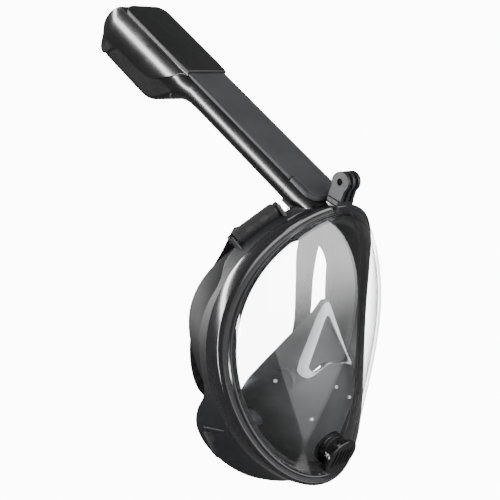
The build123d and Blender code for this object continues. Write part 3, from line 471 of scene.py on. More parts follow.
# %% [markdown]
# ## Front bezel
# The bezel clamps the lens. Seen from the front it is a bright bead, a dark land and a fine step, which is
# what draws the parallel lines of light round the lens. A flat ring would show one dull band instead.

# %% Bezel ring
bezel_profile = rounded([
    (0.0, 12.0, 0.25),
    (0.0, 0.6, 1.1),
    (2.5, -0.2, 0.8),
    (3.3, 0.9, 0.25),
    (5.6, 1.1, 0.2),
    (6.2, 0.1, 0.35),
    (7.5, 0.5, 0.4),
    (8.0, 1.6, 0.3),
    (8.0, 4.0, 0.15),
    (2.6, 4.0, 0.15),
    (2.6, 12.0, 0.15),
], steps=4)
bezel_gloss = finishes["bezel gloss"]
ROUND = (True, True)
bezel = skin("rim_bezel", rim_ring(bezel_profile), "mask", bezel_gloss, wrap=ROUND)
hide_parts("front_bezel")

# %% [markdown]
# ## Lens
# The lens is part of a barrel: it bends round the face, and more gently from brow to chin. Its radius is a
# cubic through four heights of the barrel's leaning axis. Every point of the egg is pushed forward onto that
# barrel, and a flat flange round the edge is what the bezel clamps. It is one closed shell, 2.5 mm thick.

# %% Lens shell
BARREL_AXIS_Y = 30.4
BARREL_HEIGHTS = (-96.0, -22.0, 30.0, 100.0)
BARREL_RADII = (72.0, 83.5, 87.4, 71.0)
LENS_EDGE = 8.3
LENS_WALL = 2.5
FLANGE_EDGE = 2.9
LENS_FACE = 4.0
GASKET_FACE = 6.5
AXIS_STEPS = 6
barrel_cubic = np.polyfit(BARREL_HEIGHTS, BARREL_RADII, 3)


def barrel_y(x, z, shrink):
    """Front of the barrel over a point: the distance from its leaning axis is its radius at that height."""
    height = z
    for _ in range(AXIS_STEPS):
        radius = np.polyval(barrel_cubic, height) - shrink
        across = -np.sqrt(np.maximum(radius**2 - x**2, 0))
        y = BARREL_AXIS_Y + (across - z * np.sin(TILT)) / np.cos(TILT)
        height = z * np.cos(TILT) - (y - BARREL_AXIS_Y) * np.sin(TILT)
    return y


def lens_dish(edge, shrink, shares, turn):
    """The barrel over the egg, from its middle to its edge, one row for each share of the way out."""
    x, z = egg(edge, turn)
    x, z = shares[:, None] * x, shares[:, None] * z
    return np.stack([x, barrel_y(x, z, shrink), z], axis=-1)


turn = np.linspace(0, 2 * np.pi, AROUND, endpoint=False)
outwards = np.sin(np.linspace(0, np.pi / 2, 40))
outer_dish = lens_dish(LENS_EDGE, 0.0, outwards, turn)
inner_dish = lens_dish(LENS_EDGE + LENS_WALL, LENS_WALL, outwards, turn)[::-1]
flange_rows = [
    (LENS_EDGE, LENS_FACE),
    (FLANGE_EDGE, LENS_FACE),
    (FLANGE_EDGE, GASKET_FACE),
    (LENS_EDGE + LENS_WALL, GASKET_FACE),
]
flange = np.stack([rim_points(inset, depth, turn) for inset, depth in flange_rows])
lens_points = np.concatenate([outer_dish, flange, inner_dish])
lens = skin("lens_shell", lens_points, "mask", clear_lens)
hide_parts("lens")

# %% Cut the hole for the chin drain through the lens
DRAIN_CENTRE = np.array([0.0, -38.5, -78.5])
DRAIN_TURN = np.radians(28.0)
DRAIN_WAY = np.array([0.0, -np.cos(DRAIN_TURN), -np.sin(DRAIN_TURN)])
DRAIN_UP = np.array([0.0, -np.sin(DRAIN_TURN), np.cos(DRAIN_TURN)])
DRAIN_HOLE = 12.8
DRAIN_REACH = (-25, 30)


def drum(centre, way, up, rings):
    """Rings round an axis, each a place along it and a radius, closed at both ends."""
    angle = np.linspace(0, 2 * np.pi, 64, endpoint=False)[:, None]
    side = np.cross(way, up)
    circle = np.cos(angle) * side + np.sin(angle) * up
    return capped(np.stack([centre + way * along + circle * radius for along, radius in rings]))


def cut(piece, points):
    """Takes a closed grid's space out of a piece."""
    mesh = grid_mesh("cutter", points, (False, True))
    weld(mesh)
    cutter = put_in_scene("cutter", mesh)
    taken = piece.modifiers.new("cut", "BOOLEAN")
    taken.object = cutter
    taken.solver = "EXACT"
    graph = bpy.context.evaluated_depsgraph_get()
    result = bpy.data.meshes.new_from_object(piece.evaluated_get(graph))
    piece.modifiers.clear()
    piece.data = result
    bpy.data.objects.remove(cutter)
    result.set_sharp_from_angle(angle=SMOOTH_ANGLE)
    print(piece.name, "cut, now", len(result.polygons), "faces")


cut(lens, drum(DRAIN_CENTRE, DRAIN_WAY, DRAIN_UP, [(along, DRAIN_HOLE) for along in DRAIN_REACH]))

# %% [markdown]
# ## Gasket
# A thin black ring of rubber lies under the lens flange. Through the clear edge of the lens it draws the dark
# line just inside the bezel.

# %% Gasket ring
gasket_profile = rounded([(2.9, 6.5, 0.3), (9.9, 6.5, 0.5), (9.9, 8.0, 0.5), (2.9, 8.0, 0.3)], steps=4)
gasket_points = rim_ring(gasket_profile)
gasket = skin("gasket_ring", gasket_points, "mask", black_silicone, wrap=ROUND)
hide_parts("lens_gasket")

# %% [markdown]
# ## Frame
# The frame carries everything: it wraps the bezel's rim, runs back over the temples in a narrow wall, and
# spreads into a broad jaw that holds the lower straps. So it is one ring whose rear edge has its own depth at
# each turn, and whose lower edge flares outwards. The socket for the tube and the strap lugs are lofts on it.

# %% Frame ring with its jaw
FROM_TOP = (0, 20, 38, 50, 60, 70, 80, 90, 100, 107, 114, 122, 132, 142, 152, 164, 180)
REAR_DEPTH = (27, 28, 29, 26, 17.5, 19.5, 20.5, 19.5, 18.5, 22, 33, 41, 43, 40, 36, 32, 30)
JAW_FLARE = (0, 0, 0, 0, 0, 0, 0, 0, 0.3, 1.0, 2.5, 4.5, 6.5, 7.5, 7.0, 4.5, 2.5)


FRAME_ROWS = 432
WALL_FROM = 12.0
WALL_LONG = 18.0


def frame_ring(profile, rows):
    """The profile round the rim: its wall stretches to the rear edge, and the flare grows as its square."""
    turn = np.linspace(0, 2 * np.pi, rows, endpoint=False)[:, None]
    from_top = np.degrees(np.pi - np.abs(np.pi - turn))
    table = through(np.stack([FROM_TOP, REAR_DEPTH, JAW_FLARE], axis=-1).astype(float), 400)
    rear_depth = np.interp(from_top, table[:, 0], table[:, 1])
    flare = np.interp(from_top, table[:, 0], table[:, 2])
    share = np.maximum(profile[:, 1] - WALL_FROM, 0) / WALL_LONG
    stretched = WALL_FROM + share * (rear_depth - WALL_FROM)
    depth = np.where(profile[:, 1] > WALL_FROM, stretched, profile[:, 1])
    inset = profile[:, 0] - flare * share**2
    return rim_points(inset, depth, np.broadcast_to(turn, depth.shape))


ring_corners = [
    (0.0, 30.0, 1.8),
    (4.6, 30.0, 1.2),
    (12.0, 16.0, 2.0),
    (12.0, 10.6, 0.3),
    (2.9, 10.6, 0.3),
    (2.9, 12.0, 0.2),
]
outer_wall = np.stack([np.zeros(12), np.linspace(WALL_FROM, WALL_FROM + 15.0, 12)], axis=-1)
ring_points = frame_ring(np.concatenate([outer_wall, rounded(ring_corners, steps=5)]), FRAME_ROWS)
frame_satin = finishes["frame satin"]
ring = skin("frame_ring", ring_points, "mask", frame_satin, wrap=ROUND)
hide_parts("mask_frame")

# %% [markdown]
# ## Face skirt
# The skirt is black silicone. A flange is clamped behind the gasket, a short wall runs back through the
# frame, and behind the frame it rolls outwards before it turns in to the soft lip that seals on the face. The
# roll is what shows past the frame. It is fuller at the temples than at the chin, so its reach changes with
# the turn.

# %% Skirt with its rolled rear
skirt_profile = rounded([
    (2.9, 8.05, 0.3),
    (14.8, 8.05, 0.9),
    (14.8, 33.5, 3.0),
    (29.3, 36.0, 0.8),
    (29.3, 37.6, 0.7),
    (20.0, 38.6, 6.0),
    (12.6, 38.6, 2.0),
    (12.3, 28.0, 1.2),
    (12.3, 10.5, 0.3),
    (2.9, 10.5, 0.3),
], steps=6)
ROLL_OUT = 8.5
ROLL_BACK = 4.5
TEMPLE_TURN = np.radians(66.0)
TEMPLE_REACH = np.radians(34.0)


def skirt_points(profile):
    """The profile round the rim, swollen behind the frame by a bell of the turn from each temple."""
    turn = np.linspace(0, 2 * np.pi, AROUND, endpoint=False)[:, None]
    inset, depth = profile[:, 0], profile[:, 1]
    behind = np.clip((depth - 24.0) / 10.0, 0, 1) * np.clip((24.0 - inset) / 10.0, 0, 1)
    from_temple = (np.abs(np.pi - np.abs(np.pi - turn)) - TEMPLE_TURN) / TEMPLE_REACH
    temple = np.exp(-(from_temple**2))
    inset_here = inset - ROLL_OUT * behind * temple
    depth_here = depth + ROLL_BACK * behind * temple
    return rim_points(inset_here, depth_here, np.broadcast_to(turn, inset_here.shape))


rolled = skirt_points(skirt_profile)
skirt = skin("skirt_roll", rolled, "mask", black_silicone, wrap=ROUND)
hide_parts("face_skirt")

# %% [markdown]
# ## Breathing pocket
# The pocket cups the nose and mouth. It is one soft moulding of grey silicone whose section is a rounded U,
# open to the face. Its front runs forward from the bridge to the lip, and a three-cornered panel, thinner and
# painted dark as painted shade of the hollow, lies under the bridge, which is painted near white as a painted
# highlight. The section is a superellipse, so one exponent sets how square it is.

# %% Pocket wall
POCKET_LEVELS = (34, 27, 20, 13, 6, -2, -10, -17, -24, -34, -46, -59, -74, -87)
POCKET_WIDTHS = (3, 7, 11, 16, 21, 27, 33.5, 39, 44, 47, 44, 36, 25, 14)
POCKET_FRONTS = (-31, -31.5, -31.5, -32, -33, -35, -37.5, -39.5, -41, -42, -41.5, -38.5, -34, -29.5)
POCKET_BACKS = (-27, -24, -20, -15, -10, -5, 0, 4, 8, 12, 12, 10, 4, 1)
POCKET_WALL = 2.0
POCKET_SQUARE = 2.5
pocket_columns = [POCKET_LEVELS, POCKET_WIDTHS, POCKET_FRONTS, POCKET_BACKS]
pocket_table = through(np.stack(pocket_columns, axis=-1), 160)


def pocket_u(shrink, angle):
    """A rounded U at each height: width by cosine and depth by sine, to two over the squareness."""
    height, width, front, back = (pocket_table[:, [column]] for column in range(4))
    across = np.sign(np.cos(angle)) * np.abs(np.cos(angle)) ** (2 / POCKET_SQUARE)
    forward = np.abs(np.sin(angle)) ** (2 / POCKET_SQUARE)
    x = np.maximum(width - shrink, 0.4) * across
    y = back + (np.minimum(front + shrink, back - 0.5) - back) * forward
    return np.stack([x, y, np.broadcast_to(height, x.shape)], axis=-1)


def pocket_front(x, z, proud=0.0):
    """The front wall over a place: the same superellipse, solved for its depth."""
    height, width, front, back = pocket_table[::-1].T
    wide, near, far = (np.interp(z, height, column) for column in (width, front, back))
    share = np.clip(np.abs(x) / wide, 0, 0.995)
    return far + (near - far) * (1 - share**POCKET_SQUARE) ** (1 / POCKET_SQUARE) - proud


angle = np.linspace(0, np.pi, 121)[None, :]
pocket_points = np.concatenate([pocket_u(0, angle), pocket_u(POCKET_WALL, angle[:, ::-1])], axis=1)
pocket = skin("pocket_wall", capped(pocket_points), "mask", grey_silicone)
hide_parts("orinasal_pocket")


def prism(outline, near, far):
    """A closed grid with the outline's places in x and z, from one depth in y to another."""
    x, z = outline.T
    return capped(np.stack([np.stack([x, np.full(len(x), y), z], axis=-1) for y in (near, far)]))


window_corners = [
    (0.0, 24.5, 3.0),
    (27.0, -15.5, 3.0),
    (9.0, -13.5, 7.0),
    (-6.0, -11.0, 5.0),
    (-27.0, -19.0, 3.0),
]
window = rounded(window_corners, 12)
cut(pocket, prism(window, -60.0, -14.0))


# %% Bridge round the window, painted near white as a highlight, and the thin panel behind it, painted dark as shade
bridge_corners = [
    (0.0, 37.0, 5.0),
    (35.0, -21.0, 4.0),
    (9.0, -14.0, 7.0),
    (-6.0, -11.5, 5.0),
    (-35.0, -24.0, 4.0),
]
BRIDGE_TOP = 33.5
FULL_HUMP_WIDTH = 6.0
BRIDGE_HUMP = 1.5
BRIDGE_RIM = 0.2
BRIDGE_DEEP = 1.2
bridge_edge = rounded(bridge_corners, 12)
bridge_width = np.clip(np.linalg.norm(bridge_edge - window, axis=1) / FULL_HUMP_WIDTH, 0.1, 1.0)


def bridge_ring(shares, proud):
    """Rows of the bridge from the window's edge outwards, laid on the front wall and raised by a hump."""
    edge = window + shares[:, None, None] * (bridge_edge - window)
    x, z = edge[..., 0], np.minimum(edge[..., 1], BRIDGE_TOP)
    return np.stack([x, pocket_front(x, z, proud), z], axis=-1)


share = np.linspace(0, 1, 15)
hump = BRIDGE_RIM + BRIDGE_HUMP * np.sin(np.pi * share[:, None])
bridge_front = bridge_ring(share, hump * bridge_width)
bridge_back = bridge_ring(share[::-1], np.full((15, 1), -BRIDGE_DEEP))
bridge_points = np.concatenate([bridge_front, bridge_back]).transpose(1, 0, 2)
# The bridge's near-white colour is a painted highlight.
bridge = skin("pocket_bridge", bridge_points, "mask", highlight_pale_silicone, wrap=ROUND)
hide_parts("orinasal_pocket")
PANEL_SPREAD = 1.05
PANEL_FLATTER = 0.75
PANEL_SET_BACK = 4.2


def window_points(shares):
    """The thin panel behind the window: its outline drawn in to the middle, set back from the front wall."""
    middle = window.mean(axis=0)
    flat = middle + shares[:, None, None] * PANEL_SPREAD * (window - middle)
    x, z = flat[..., 0], flat[..., 1]
    return np.stack([x, pocket_front(PANEL_FLATTER * x, z, -PANEL_SET_BACK), z], axis=-1)


outer_face = window_points(np.linspace(0.0, 1.0, 14))
inner_face = outer_face[::-1] + np.array([0.0, 1.0, 0.0])
panel_points = np.concatenate([outer_face, inner_face])
# The panel's dark colour is painted shade of the hollow behind the window.
panel = skin("pocket_shade_panel", panel_points, "mask", shade_dark_silicone)
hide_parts("orinasal_pocket")

# %% Small press studs that pin the pocket's front, painted near white as highlights
STUD_SPOTS = ((-40.0, -22.0), (-2.5, -29.0), (14.0, -40.0), (-23.0, -50.0))
STUD_RINGS = [(-1.0, 1.3), (0.6, 1.3), (1.0, 1.1), (1.2, 0.7)]
for number, (x, z) in enumerate(STUD_SPOTS):
    face_y = float(pocket_front(np.array(x), np.array(z)))
    stud = drum(np.array([x, face_y, z]), np.array([0, -1, 0]), np.array([0, 0, 1]), STUD_RINGS)
    skin(f"pocket_stud_{number}", stud, "mask", highlight_pale_silicone)

# %% [markdown]
# ## Snorkel tube and head
# The tube's rear shell and the keel under the head are one glossy moulding: a rounded box along the tube,
# whose rear swells into the keel in an S. Its sides are slightly convex, which is what stretches a window or
# a lamp into one long streak. The hood is a second skin over it with a slanted edge and a domed end.

# %% The tube's own directions
TUBE_TILT = np.radians(54.0)
TUBE_FOOT = np.array([0.0, -5.8, 115.5])
TUBE_WAY = np.array([0.0, np.sin(TUBE_TILT), np.cos(TUBE_TILT)])
TUBE_BACK = np.array([0.0, np.cos(TUBE_TILT), -np.sin(TUBE_TILT)])
DOME_RADIUS = 31.0
DOME_DEPTH = 14.0
DOME_ALONG = 196.0
STEM_HALF, HEAD_HALF = 19.0, 21.0
SHOULDER_FROM, SHOULDER_LONG = 117.0, 14.5
LEAN_PAST_SWELL = 0.25
SIDE_STEPS, ARC_STEPS = 26, 9
# Middle depth of the sides' swell, its reach and its height, for the stem and for the head.
TUBE_SIDE = (1.6, 9.5, 1.7)
HEAD_SIDE = (6.5, 15.0, 2.2)
ACROSS = np.array([1.0, 0.0, 0.0])


def in_tube(across, behind, along):
    """Points of the tube: across the face, behind the tube's axis and along it from its foot."""
    across, behind, along = np.broadcast_arrays(across, behind, along)
    section = across[..., None] * ACROSS + behind[..., None] * TUBE_BACK
    return TUBE_FOOT + section + along[..., None] * TUBE_WAY


def dome(along):
    """Half height of the round end, a circle in the side view."""
    return np.sqrt(np.maximum(DOME_RADIUS**2 - np.maximum(along - DOME_ALONG, 0) ** 2, 0.0))


def shoulder(along):
    """Half width where the stem widens into the head: a smooth step, 3 t^2 - 2 t^3."""
    share = np.clip((along - SHOULDER_FROM) / SHOULDER_LONG, 0, 1)
    return STEM_HALF + (HEAD_HALF - STEM_HALF) * share**2 * (3 - 2 * share)


def box_section(front, rear, half_width, corner, middle, reach, swell):
    """Rounded box: sides swell as 1 - away^2 near the middle depth and lean in past it, to round corners."""
    share = np.linspace(0, 1, SIDE_STEPS)[None, :]
    bend = np.linspace(0, np.pi / 2, ARC_STEPS)[None, 1:]
    side_end = rear - corner
    straight = front + (side_end - front) * share
    behind = np.concatenate([straight, side_end + corner * np.sin(bend)], axis=1)
    away = np.abs(behind - middle) / reach
    across = half_width + swell * np.where(away < 1, 1 - away**2, -LEAN_PAST_SWELL * (away - 1))
    across[:, SIDE_STEPS:] -= corner * (1 - np.cos(bend))
    behind = np.concatenate([behind, behind[:, ::-1]], axis=1)
    across = np.concatenate([across, -across[:, ::-1]], axis=1)
    return across, behind


print("the tube runs along", TUBE_WAY.round(3), "and its rear faces", TUBE_BACK.round(3))

# %% Socket on the brow
NECK_ALONG = (-32.0, -26.0, -20.0, -14.0, -8.0, -0.4)
NECK_FRONT = (-5.0, -6.8, -7.4, -7.5, -7.5, -7.5)
NECK_REAR = (0.5, 2.5, 6.0, 9.2, 10.5, 10.7)
NECK_HALF = (20.5, 19.8, 19.2, 19.0, 19.0, 19.0)
neck_table = through(np.stack([NECK_ALONG, NECK_FRONT, NECK_REAR, NECK_HALF], axis=-1), 40)
along, front, rear, half = (neck_table[:, [column]] for column in range(4))
TUBE_CORNER = 8.0
CORNER_SHARE = 0.45
corner = np.minimum(TUBE_CORNER, CORNER_SHARE * (rear - front))
across, behind = box_section(front, rear, half, corner, *TUBE_SIDE)
neck_points = capped(in_tube(across, behind, along))
neck = skin("neck_socket", neck_points, "mask", shell_gloss)
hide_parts("mask_frame")
BORE_CORNERS = [(-17.6, -8.2, 0.5), (17.6, -8.2, 0.5), (17.6, 8.6, 3.0), (-17.6, 8.6, 3.0)]
BORE_ALONG = (-24.2, 3.0)
bore_edge = rounded(BORE_CORNERS, steps=8).T
cut(neck, capped(np.stack([in_tube(*bore_edge, at) for at in BORE_ALONG])))


def plate_points(edge, half_width, layers, crown):
    """A plate on the tube: its outline at several depths, drawn in at the edges, raised along the middle."""
    rings = []
    for behind, shrink in layers:
        middle = edge.mean(axis=0)
        half = np.abs(edge - middle).max(axis=0)
        places = middle + (edge - middle) * (1 - shrink / half)
        raised = crown * (1 - (places[:, 0] / half_width) ** 2) * (behind < layers[0][0] - 1.0)
        rings.append(in_tube(places[:, 0], behind - raised, places[:, 1]))
    return capped(np.stack(rings))


neck_corners = [(20.0, -0.9, 0.6), (-20.0, -0.9, 0.6), (-20.0, -25.0, 9.0), (20.0, -27.0, 5.0)]
neck_layers = ((-7.6, 0.0), (-9.7, 0.0), (-10.3, 0.3), (-10.5, 0.9))
neck_front = plate_points(rounded(neck_corners, steps=10), 20.0, neck_layers, 0.0)
neck_plate = skin("neck_plate", neck_front, "mask", finishes["plate grain"])
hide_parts("mask_frame")


# %% Lugs that carry the strap bars
LUG_OUTLINE = [(-4.9, -4.7, 4.4), (17.0, -3.4, 1.5), (17.0, 3.4, 1.5), (-4.9, 4.7, 4.4)]
LUG_THICK = 3.0
LUG_LAYERS = ((0.0, 0.90), (0.08, 0.97), (0.25, 1.0), (0.75, 1.0), (0.92, 0.97), (1.0, 0.90))
# Each bar: its middle, its direction, the direction inwards to the frame, and its length.
UPPER_BAR = ((47.5, -3.0, 91.0), (-0.731, -0.40, 0.552), (-0.35, -0.90, -0.60), 37.6)
LOWER_BAR = ((61.5, 24.0, -68.0), (0.50, -0.10, 0.86), (-0.10, -1.0, 0.0), 25.6)
SIDES = ((-1.0, "right"), (1.0, "left"))
lug_edge = rounded(LUG_OUTLINE, steps=8)


def lug_points(bar, side, end):
    """A rounded plate across the bar at one of its ends, its long side pointing at the frame."""
    spot, way, inward, span = bar
    flip = np.array([side, 1.0, 1.0])
    run = np.array(way) / np.linalg.norm(way)
    toward = np.array(inward) - run * (np.array(inward) @ run)
    toward /= np.linalg.norm(toward)
    third = np.cross(run, toward)
    rings = []
    for share, shrink in LUG_LAYERS:
        edge = lug_edge * shrink
        along_bar = end * (span / 2 + share * LUG_THICK)
        place = np.array(spot) + edge[:, :1] * toward + edge[:, 1:] * third + along_bar * run
        rings.append(place * flip)
    return capped(np.stack(rings))


for side, side_name in SIDES:
    for bar, bar_name in ((UPPER_BAR, "upper"), (LOWER_BAR, "lower")):
        for end, end_name in ((-1.0, "outer"), (1.0, "inner")):
            name = f"lug_{bar_name}_{side_name}_{end_name}"
            lug = skin(name, lug_points(bar, side, end), "mask", frame_satin)
            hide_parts("mask_frame")

# %% Rear shell of the tube, flowing into the keel
REAR_ALONG = (-0.4, 40, 80, 104, 114, 122, 129, 135, 141, 147, 153.5, 160, 180, 200)
REAR_BEHIND = (10.5, 10.5, 10.5, 10.6, 11.2, 13, 16.2, 20.6, 26.2, 30.8, 33.2, 34, 34, 34)
FRONT_DEPTH = -7.5
KEEL_FROM, KEEL_LONG, KEEL_CORNER = 118.0, 40.0, 2.0
END_FROM, END_LONG, END_NARROWER = 206.0, 16.0, 3.0
along = np.concatenate([np.linspace(0.0, 100.0, 26), np.linspace(101.0, 226.5, 150)])[:, None]
rear_curve = through(np.stack([REAR_ALONG, REAR_BEHIND], axis=-1), 400)
rear = np.interp(along, rear_curve[:, 0], rear_curve[:, 1])
front = np.maximum(FRONT_DEPTH, DOME_DEPTH - dome(along) + 2.0)
rear = np.minimum(rear, DOME_DEPTH + dome(along + 1.5))
rear = np.maximum(rear, front + 1.0)
keel_share = np.clip((along - KEEL_FROM) / KEEL_LONG, 0, 1)
keel_share = keel_share**2 * (3 - 2 * keel_share)
half_width = shoulder(along) - END_NARROWER * np.clip((along - END_FROM) / END_LONG, 0, 1) ** 2
keel_corner = TUBE_CORNER + (KEEL_CORNER - TUBE_CORNER) * keel_share
corner = np.minimum(keel_corner, CORNER_SHARE * (rear - front))
across, behind = box_section(front, rear, half_width, corner, *TUBE_SIDE)
rear_skin_points = capped(in_tube(across, behind, along))
rear_skin = skin("tube_rear_skin", rear_skin_points, "snorkel", shell_gloss)
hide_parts("tube_rear_shell", "inlet_keel")

# %% Slots in the keel's floor, where the air comes in
SLOT_FROM, SLOT_STEP, SLOT_COUNT = 164.0, 5.667, 7
SLOT_DEPTHS = (29.0, 38.0)


def rear_hole(across, along, depths):
    """A closed grid that goes through the tube's rear wall between two depths."""
    return capped(np.stack([in_tube(across, depth, along) for depth in depths]))


slot_across, slot_along = rounded_box(13.0, 1.6, 1.5, 4).T
for number in range(SLOT_COUNT):
    at = SLOT_FROM + number * SLOT_STEP
    cut(rear_skin, rear_hole(slot_across, at + slot_along, SLOT_DEPTHS))

# %% Holes over the keel's four screws
SCREW_ACROSS, SCREW_ALONG, SCREW_HOLE = 15.9, (157.6, 204.4), 2.95
SCREW_DEPTHS = (31.9, 38.0)
screw_turn = np.linspace(0, 2 * np.pi, 32, endpoint=False)
for side, _ in SIDES:
    for at in SCREW_ALONG:
        across = side * SCREW_ACROSS + SCREW_HOLE * np.cos(screw_turn)
        along = at + SCREW_HOLE * np.sin(screw_turn)
        cut(rear_skin, rear_hole(across, along, SCREW_DEPTHS))

# %% Hood with its slanted edge and domed end
HOOD_FROM, HOOD_STRAIGHT_TO, HOOD_ROUND = 124.6, 205.0, 21.9
HOOD_EDGE_ALONG = (HOOD_FROM, 130.6, 139.5, 148.3, 156, 164, 172, 190, 201, 206, 210, 214)
HOOD_EDGE_BEHIND = (-8.4, -4.6, 4.6, 12, 16.9, 19.6, 20.6, 21, 21.6, 25, 31, 34)
HOOD_FRONT = -9.0
HOOD_PROUD = 0.5
CLOSING_FROM, CLOSING_LONG, CLOSING_NARROWER = 214.0, 13.0, 3.0
hood_curve = through(np.stack([HOOD_EDGE_ALONG, HOOD_EDGE_BEHIND], axis=-1), 300)
straight = np.linspace(HOOD_FROM, HOOD_STRAIGHT_TO, 100)
end_turn = np.linspace(0, np.pi / 2, 46)[1:]
along = np.concatenate([straight, HOOD_STRAIGHT_TO + HOOD_ROUND * np.sin(end_turn)])[:, None]
edge_behind = np.interp(along, hood_curve[:, 0], hood_curve[:, 1])
hood_rear = np.minimum(edge_behind, DOME_DEPTH + dome(along) + 0.2)
hood_front = np.maximum(HOOD_FRONT, DOME_DEPTH - dome(along))
hood_rear = np.maximum(hood_rear, hood_front + 0.4)
closing = np.clip((along - CLOSING_FROM) / CLOSING_LONG, 0, 1)
hood_half = shoulder(along) + HOOD_PROUD - CLOSING_NARROWER * closing**2
rounder = 1.6 + 6.0 * np.clip((along - 216.0) / 8.0, 0, 1)
hood_corner = np.minimum(rounder, CORNER_SHARE * (hood_rear - hood_front))
across, behind = box_section(hood_front, hood_rear, hood_half, hood_corner, *HEAD_SIDE)
hood = skin("hood_skin", capped(in_tube(across, behind, along)), "snorkel", shell_gloss)
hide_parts("head_hood")

# %% Front plate of the head, left plain
plate_corners = [
    (-20.5, 125.0, 0.8),
    (20.5, 125.0, 0.8),
    (21.6, 138.0, 12.0),
    (21.8, 213.5, 9.0),
    (-21.8, 213.5, 9.0),
    (-21.6, 138.0, 12.0),
]
head_layers = ((-8.9, 0.0), (-11.4, 0.0), (-12.1, 0.35), (-12.5, 1.1))
head_front = plate_points(rounded(plate_corners, steps=10), 21.8, head_layers, 0.9)
head_plate = skin("head_plate", head_front, "snorkel", finishes["head plate grain"])
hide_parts("head_front_plate")

# %% [markdown]
# ## Harness
# Each strap is woven elastic. It comes along the side of the head, goes once round its bar, and its tail is
# sewn back on itself. The path is a list of places, the width turns from the bar's direction to the pad's,
# and the section is a thin band with round edges. The weave runs on the strap's own length and width.

# %% Strap paths
# Each station: its place from the bar's middle, the direction of the strap's width, and the width.
UPPER_STATIONS = (
    ((1.1, 2.1, 3.0), (0.731, 0.40, -0.552), 36.0),
    ((-6.3, 10.8, -0.6), (0.80, 0.35, -0.48), 33.0),
    ((-3.5, 25.0, -23.0), (0.97, 0.10, -0.20), 27.0),
    ((7.5, 39.0, -55.0), (1.0, 0.0, 0.10), 22.0),
    ((11.5, 45.0, -91.0), (1.0, 0.0, 0.0), 20.0),
    ((3.5, 47.5, -119.0), (0.95, 0.0, -0.30), 19.0),
    ((-18.5, 48.6, -136.0), (1.0, 0.0, 0.0), 18.0),
)
LOWER_STATIONS = (
    ((2.1, 3.1, -0.8), (0.50, -0.10, 0.86), 24.0),
    ((-4.6, 8.9, 3.5), (0.40, -0.05, 0.90), 23.0),
    ((-19.5, 21.6, 6.0), (0.0, 0.0, 1.0), 22.0),
)
STRAP_HALF = 0.95
STRAP_ROWS = 300
STRAP_RIBS, RIB_HEIGHT = 9, 0.12
LOOP_MIDDLE = 5.0
LOOP_TURN = np.radians((-215.0, -12.0))
TAIL = ((1.8, 15.0), (1.8, 12.5), (1.2, 9.6), (-0.8, 7.2))


def strap_path(spot, stations):
    """Places, width directions and widths: round the bar and back along itself, then on to the pad."""
    places = spot + np.array([station[0] for station in stations])
    across = np.array([station[1] for station in stations])
    across = across / np.linalg.norm(across, axis=1, keepdims=True)
    widths = np.array([station[2] for station in stations])
    out = places[0] - spot
    out = out - across[0] * (out @ across[0])
    out /= np.linalg.norm(out)
    run = np.cross(across[0], out)
    run *= np.sign(run @ (places[1] - places[0]))
    round_bar = np.linspace(*LOOP_TURN, 26)[:, None]
    loop = spot + LOOP_MIDDLE * (np.cos(round_bar) * out + np.sin(round_bar) * run)
    tail = np.array(TAIL)
    tail = spot + tail[:, :1] * out + tail[:, 1:] * run
    start = len(tail) + len(loop)
    knots = np.concatenate([tail, loop, places])
    turned = np.concatenate([np.broadcast_to(across[0], (start, 3)), across])
    wide = np.concatenate([np.full(start, widths[0]), widths])
    table = through(np.concatenate([knots, turned, wide[:, None]], axis=1), STRAP_ROWS)
    return table[:, :3], table[:, 3:6], table[:, 6]


def strap_band(spot, stations, side):
    """A band of rounded section along the path, with its length and width in metres kept as coordinates."""
    places, across, wide = strap_path(spot, stations)
    run = np.gradient(places, axis=0)
    run /= np.linalg.norm(run, axis=1, keepdims=True)
    across = across - run * np.sum(across * run, axis=1, keepdims=True)
    across /= np.linalg.norm(across, axis=1, keepdims=True)
    up = np.cross(run, across)
    flat = np.linspace(-1, 1, 25)
    edge = np.sqrt(np.maximum(1 - np.abs(flat) ** 12, 0.0))
    ribs = RIB_HEIGHT * np.cos(flat * np.pi * STRAP_RIBS)
    u = np.concatenate([flat, flat[::-1]])
    v = np.concatenate([edge * (1 + ribs), -edge[::-1] * (1 + ribs[::-1])])
    points = places[:, None] + u[:, None] * across[:, None] * wide[:, None, None] / 2
    points = points + v[:, None] * STRAP_HALF * up[:, None]
    length = np.concatenate([[0], np.cumsum(np.linalg.norm(np.diff(places, axis=0), axis=1))])
    uv = np.stack(np.broadcast_arrays(length[:, None] * MM, u * wide[:, None] / 2 * MM), axis=-1)
    points = points * np.array([side, 1.0, 1.0])
    return capped(points), np.concatenate([uv[:1], uv, uv[-1:]])


for side, side_name in SIDES:
    for place, bar, stations in (("upper", UPPER_BAR, UPPER_STATIONS), ("lower", LOWER_BAR, LOWER_STATIONS)):
        points, uv = strap_band(np.array(bar[0]), stations, side)
        node = f"{place}_strap_{side_name}"
        band = skin(f"{node}_webbing", points, "mask", strap_webbing, uv=uv)
        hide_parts(node)

# %% [markdown]
# ## Crown pad
# The pad at the back of the head is two sheets of fabric over thin foam, sewn round the edge and along three
# channels. Its outline is a rounded rectangle, and its thickness falls to the seam and dips at each channel.

# %% Crown pad
PAD_CENTRE = np.array([0.0, 45.0, -62.0])
PAD_HALF = np.array([41.5, 16.5])
PAD_SWELL, PAD_SEAM = 1.9, 0.35
PAD_CHANNELS = (-21.0, 0.0, 21.0)
CHANNEL_HALF = 1.3
PAD_SQUARE = 0.36


def pad_height(x, z, share):
    """Half thickness: a round fall to the edge, less a narrow dip along each channel."""
    fall = np.sqrt(np.maximum(1 - share**5, 0.0))
    dips = sum(np.exp(-(((x - channel) / CHANNEL_HALF) ** 2)) for channel in PAD_CHANNELS)
    return PAD_SEAM + (PAD_SWELL - PAD_SEAM) * fall * (1 - 0.6 * np.minimum(dips, 1.0))


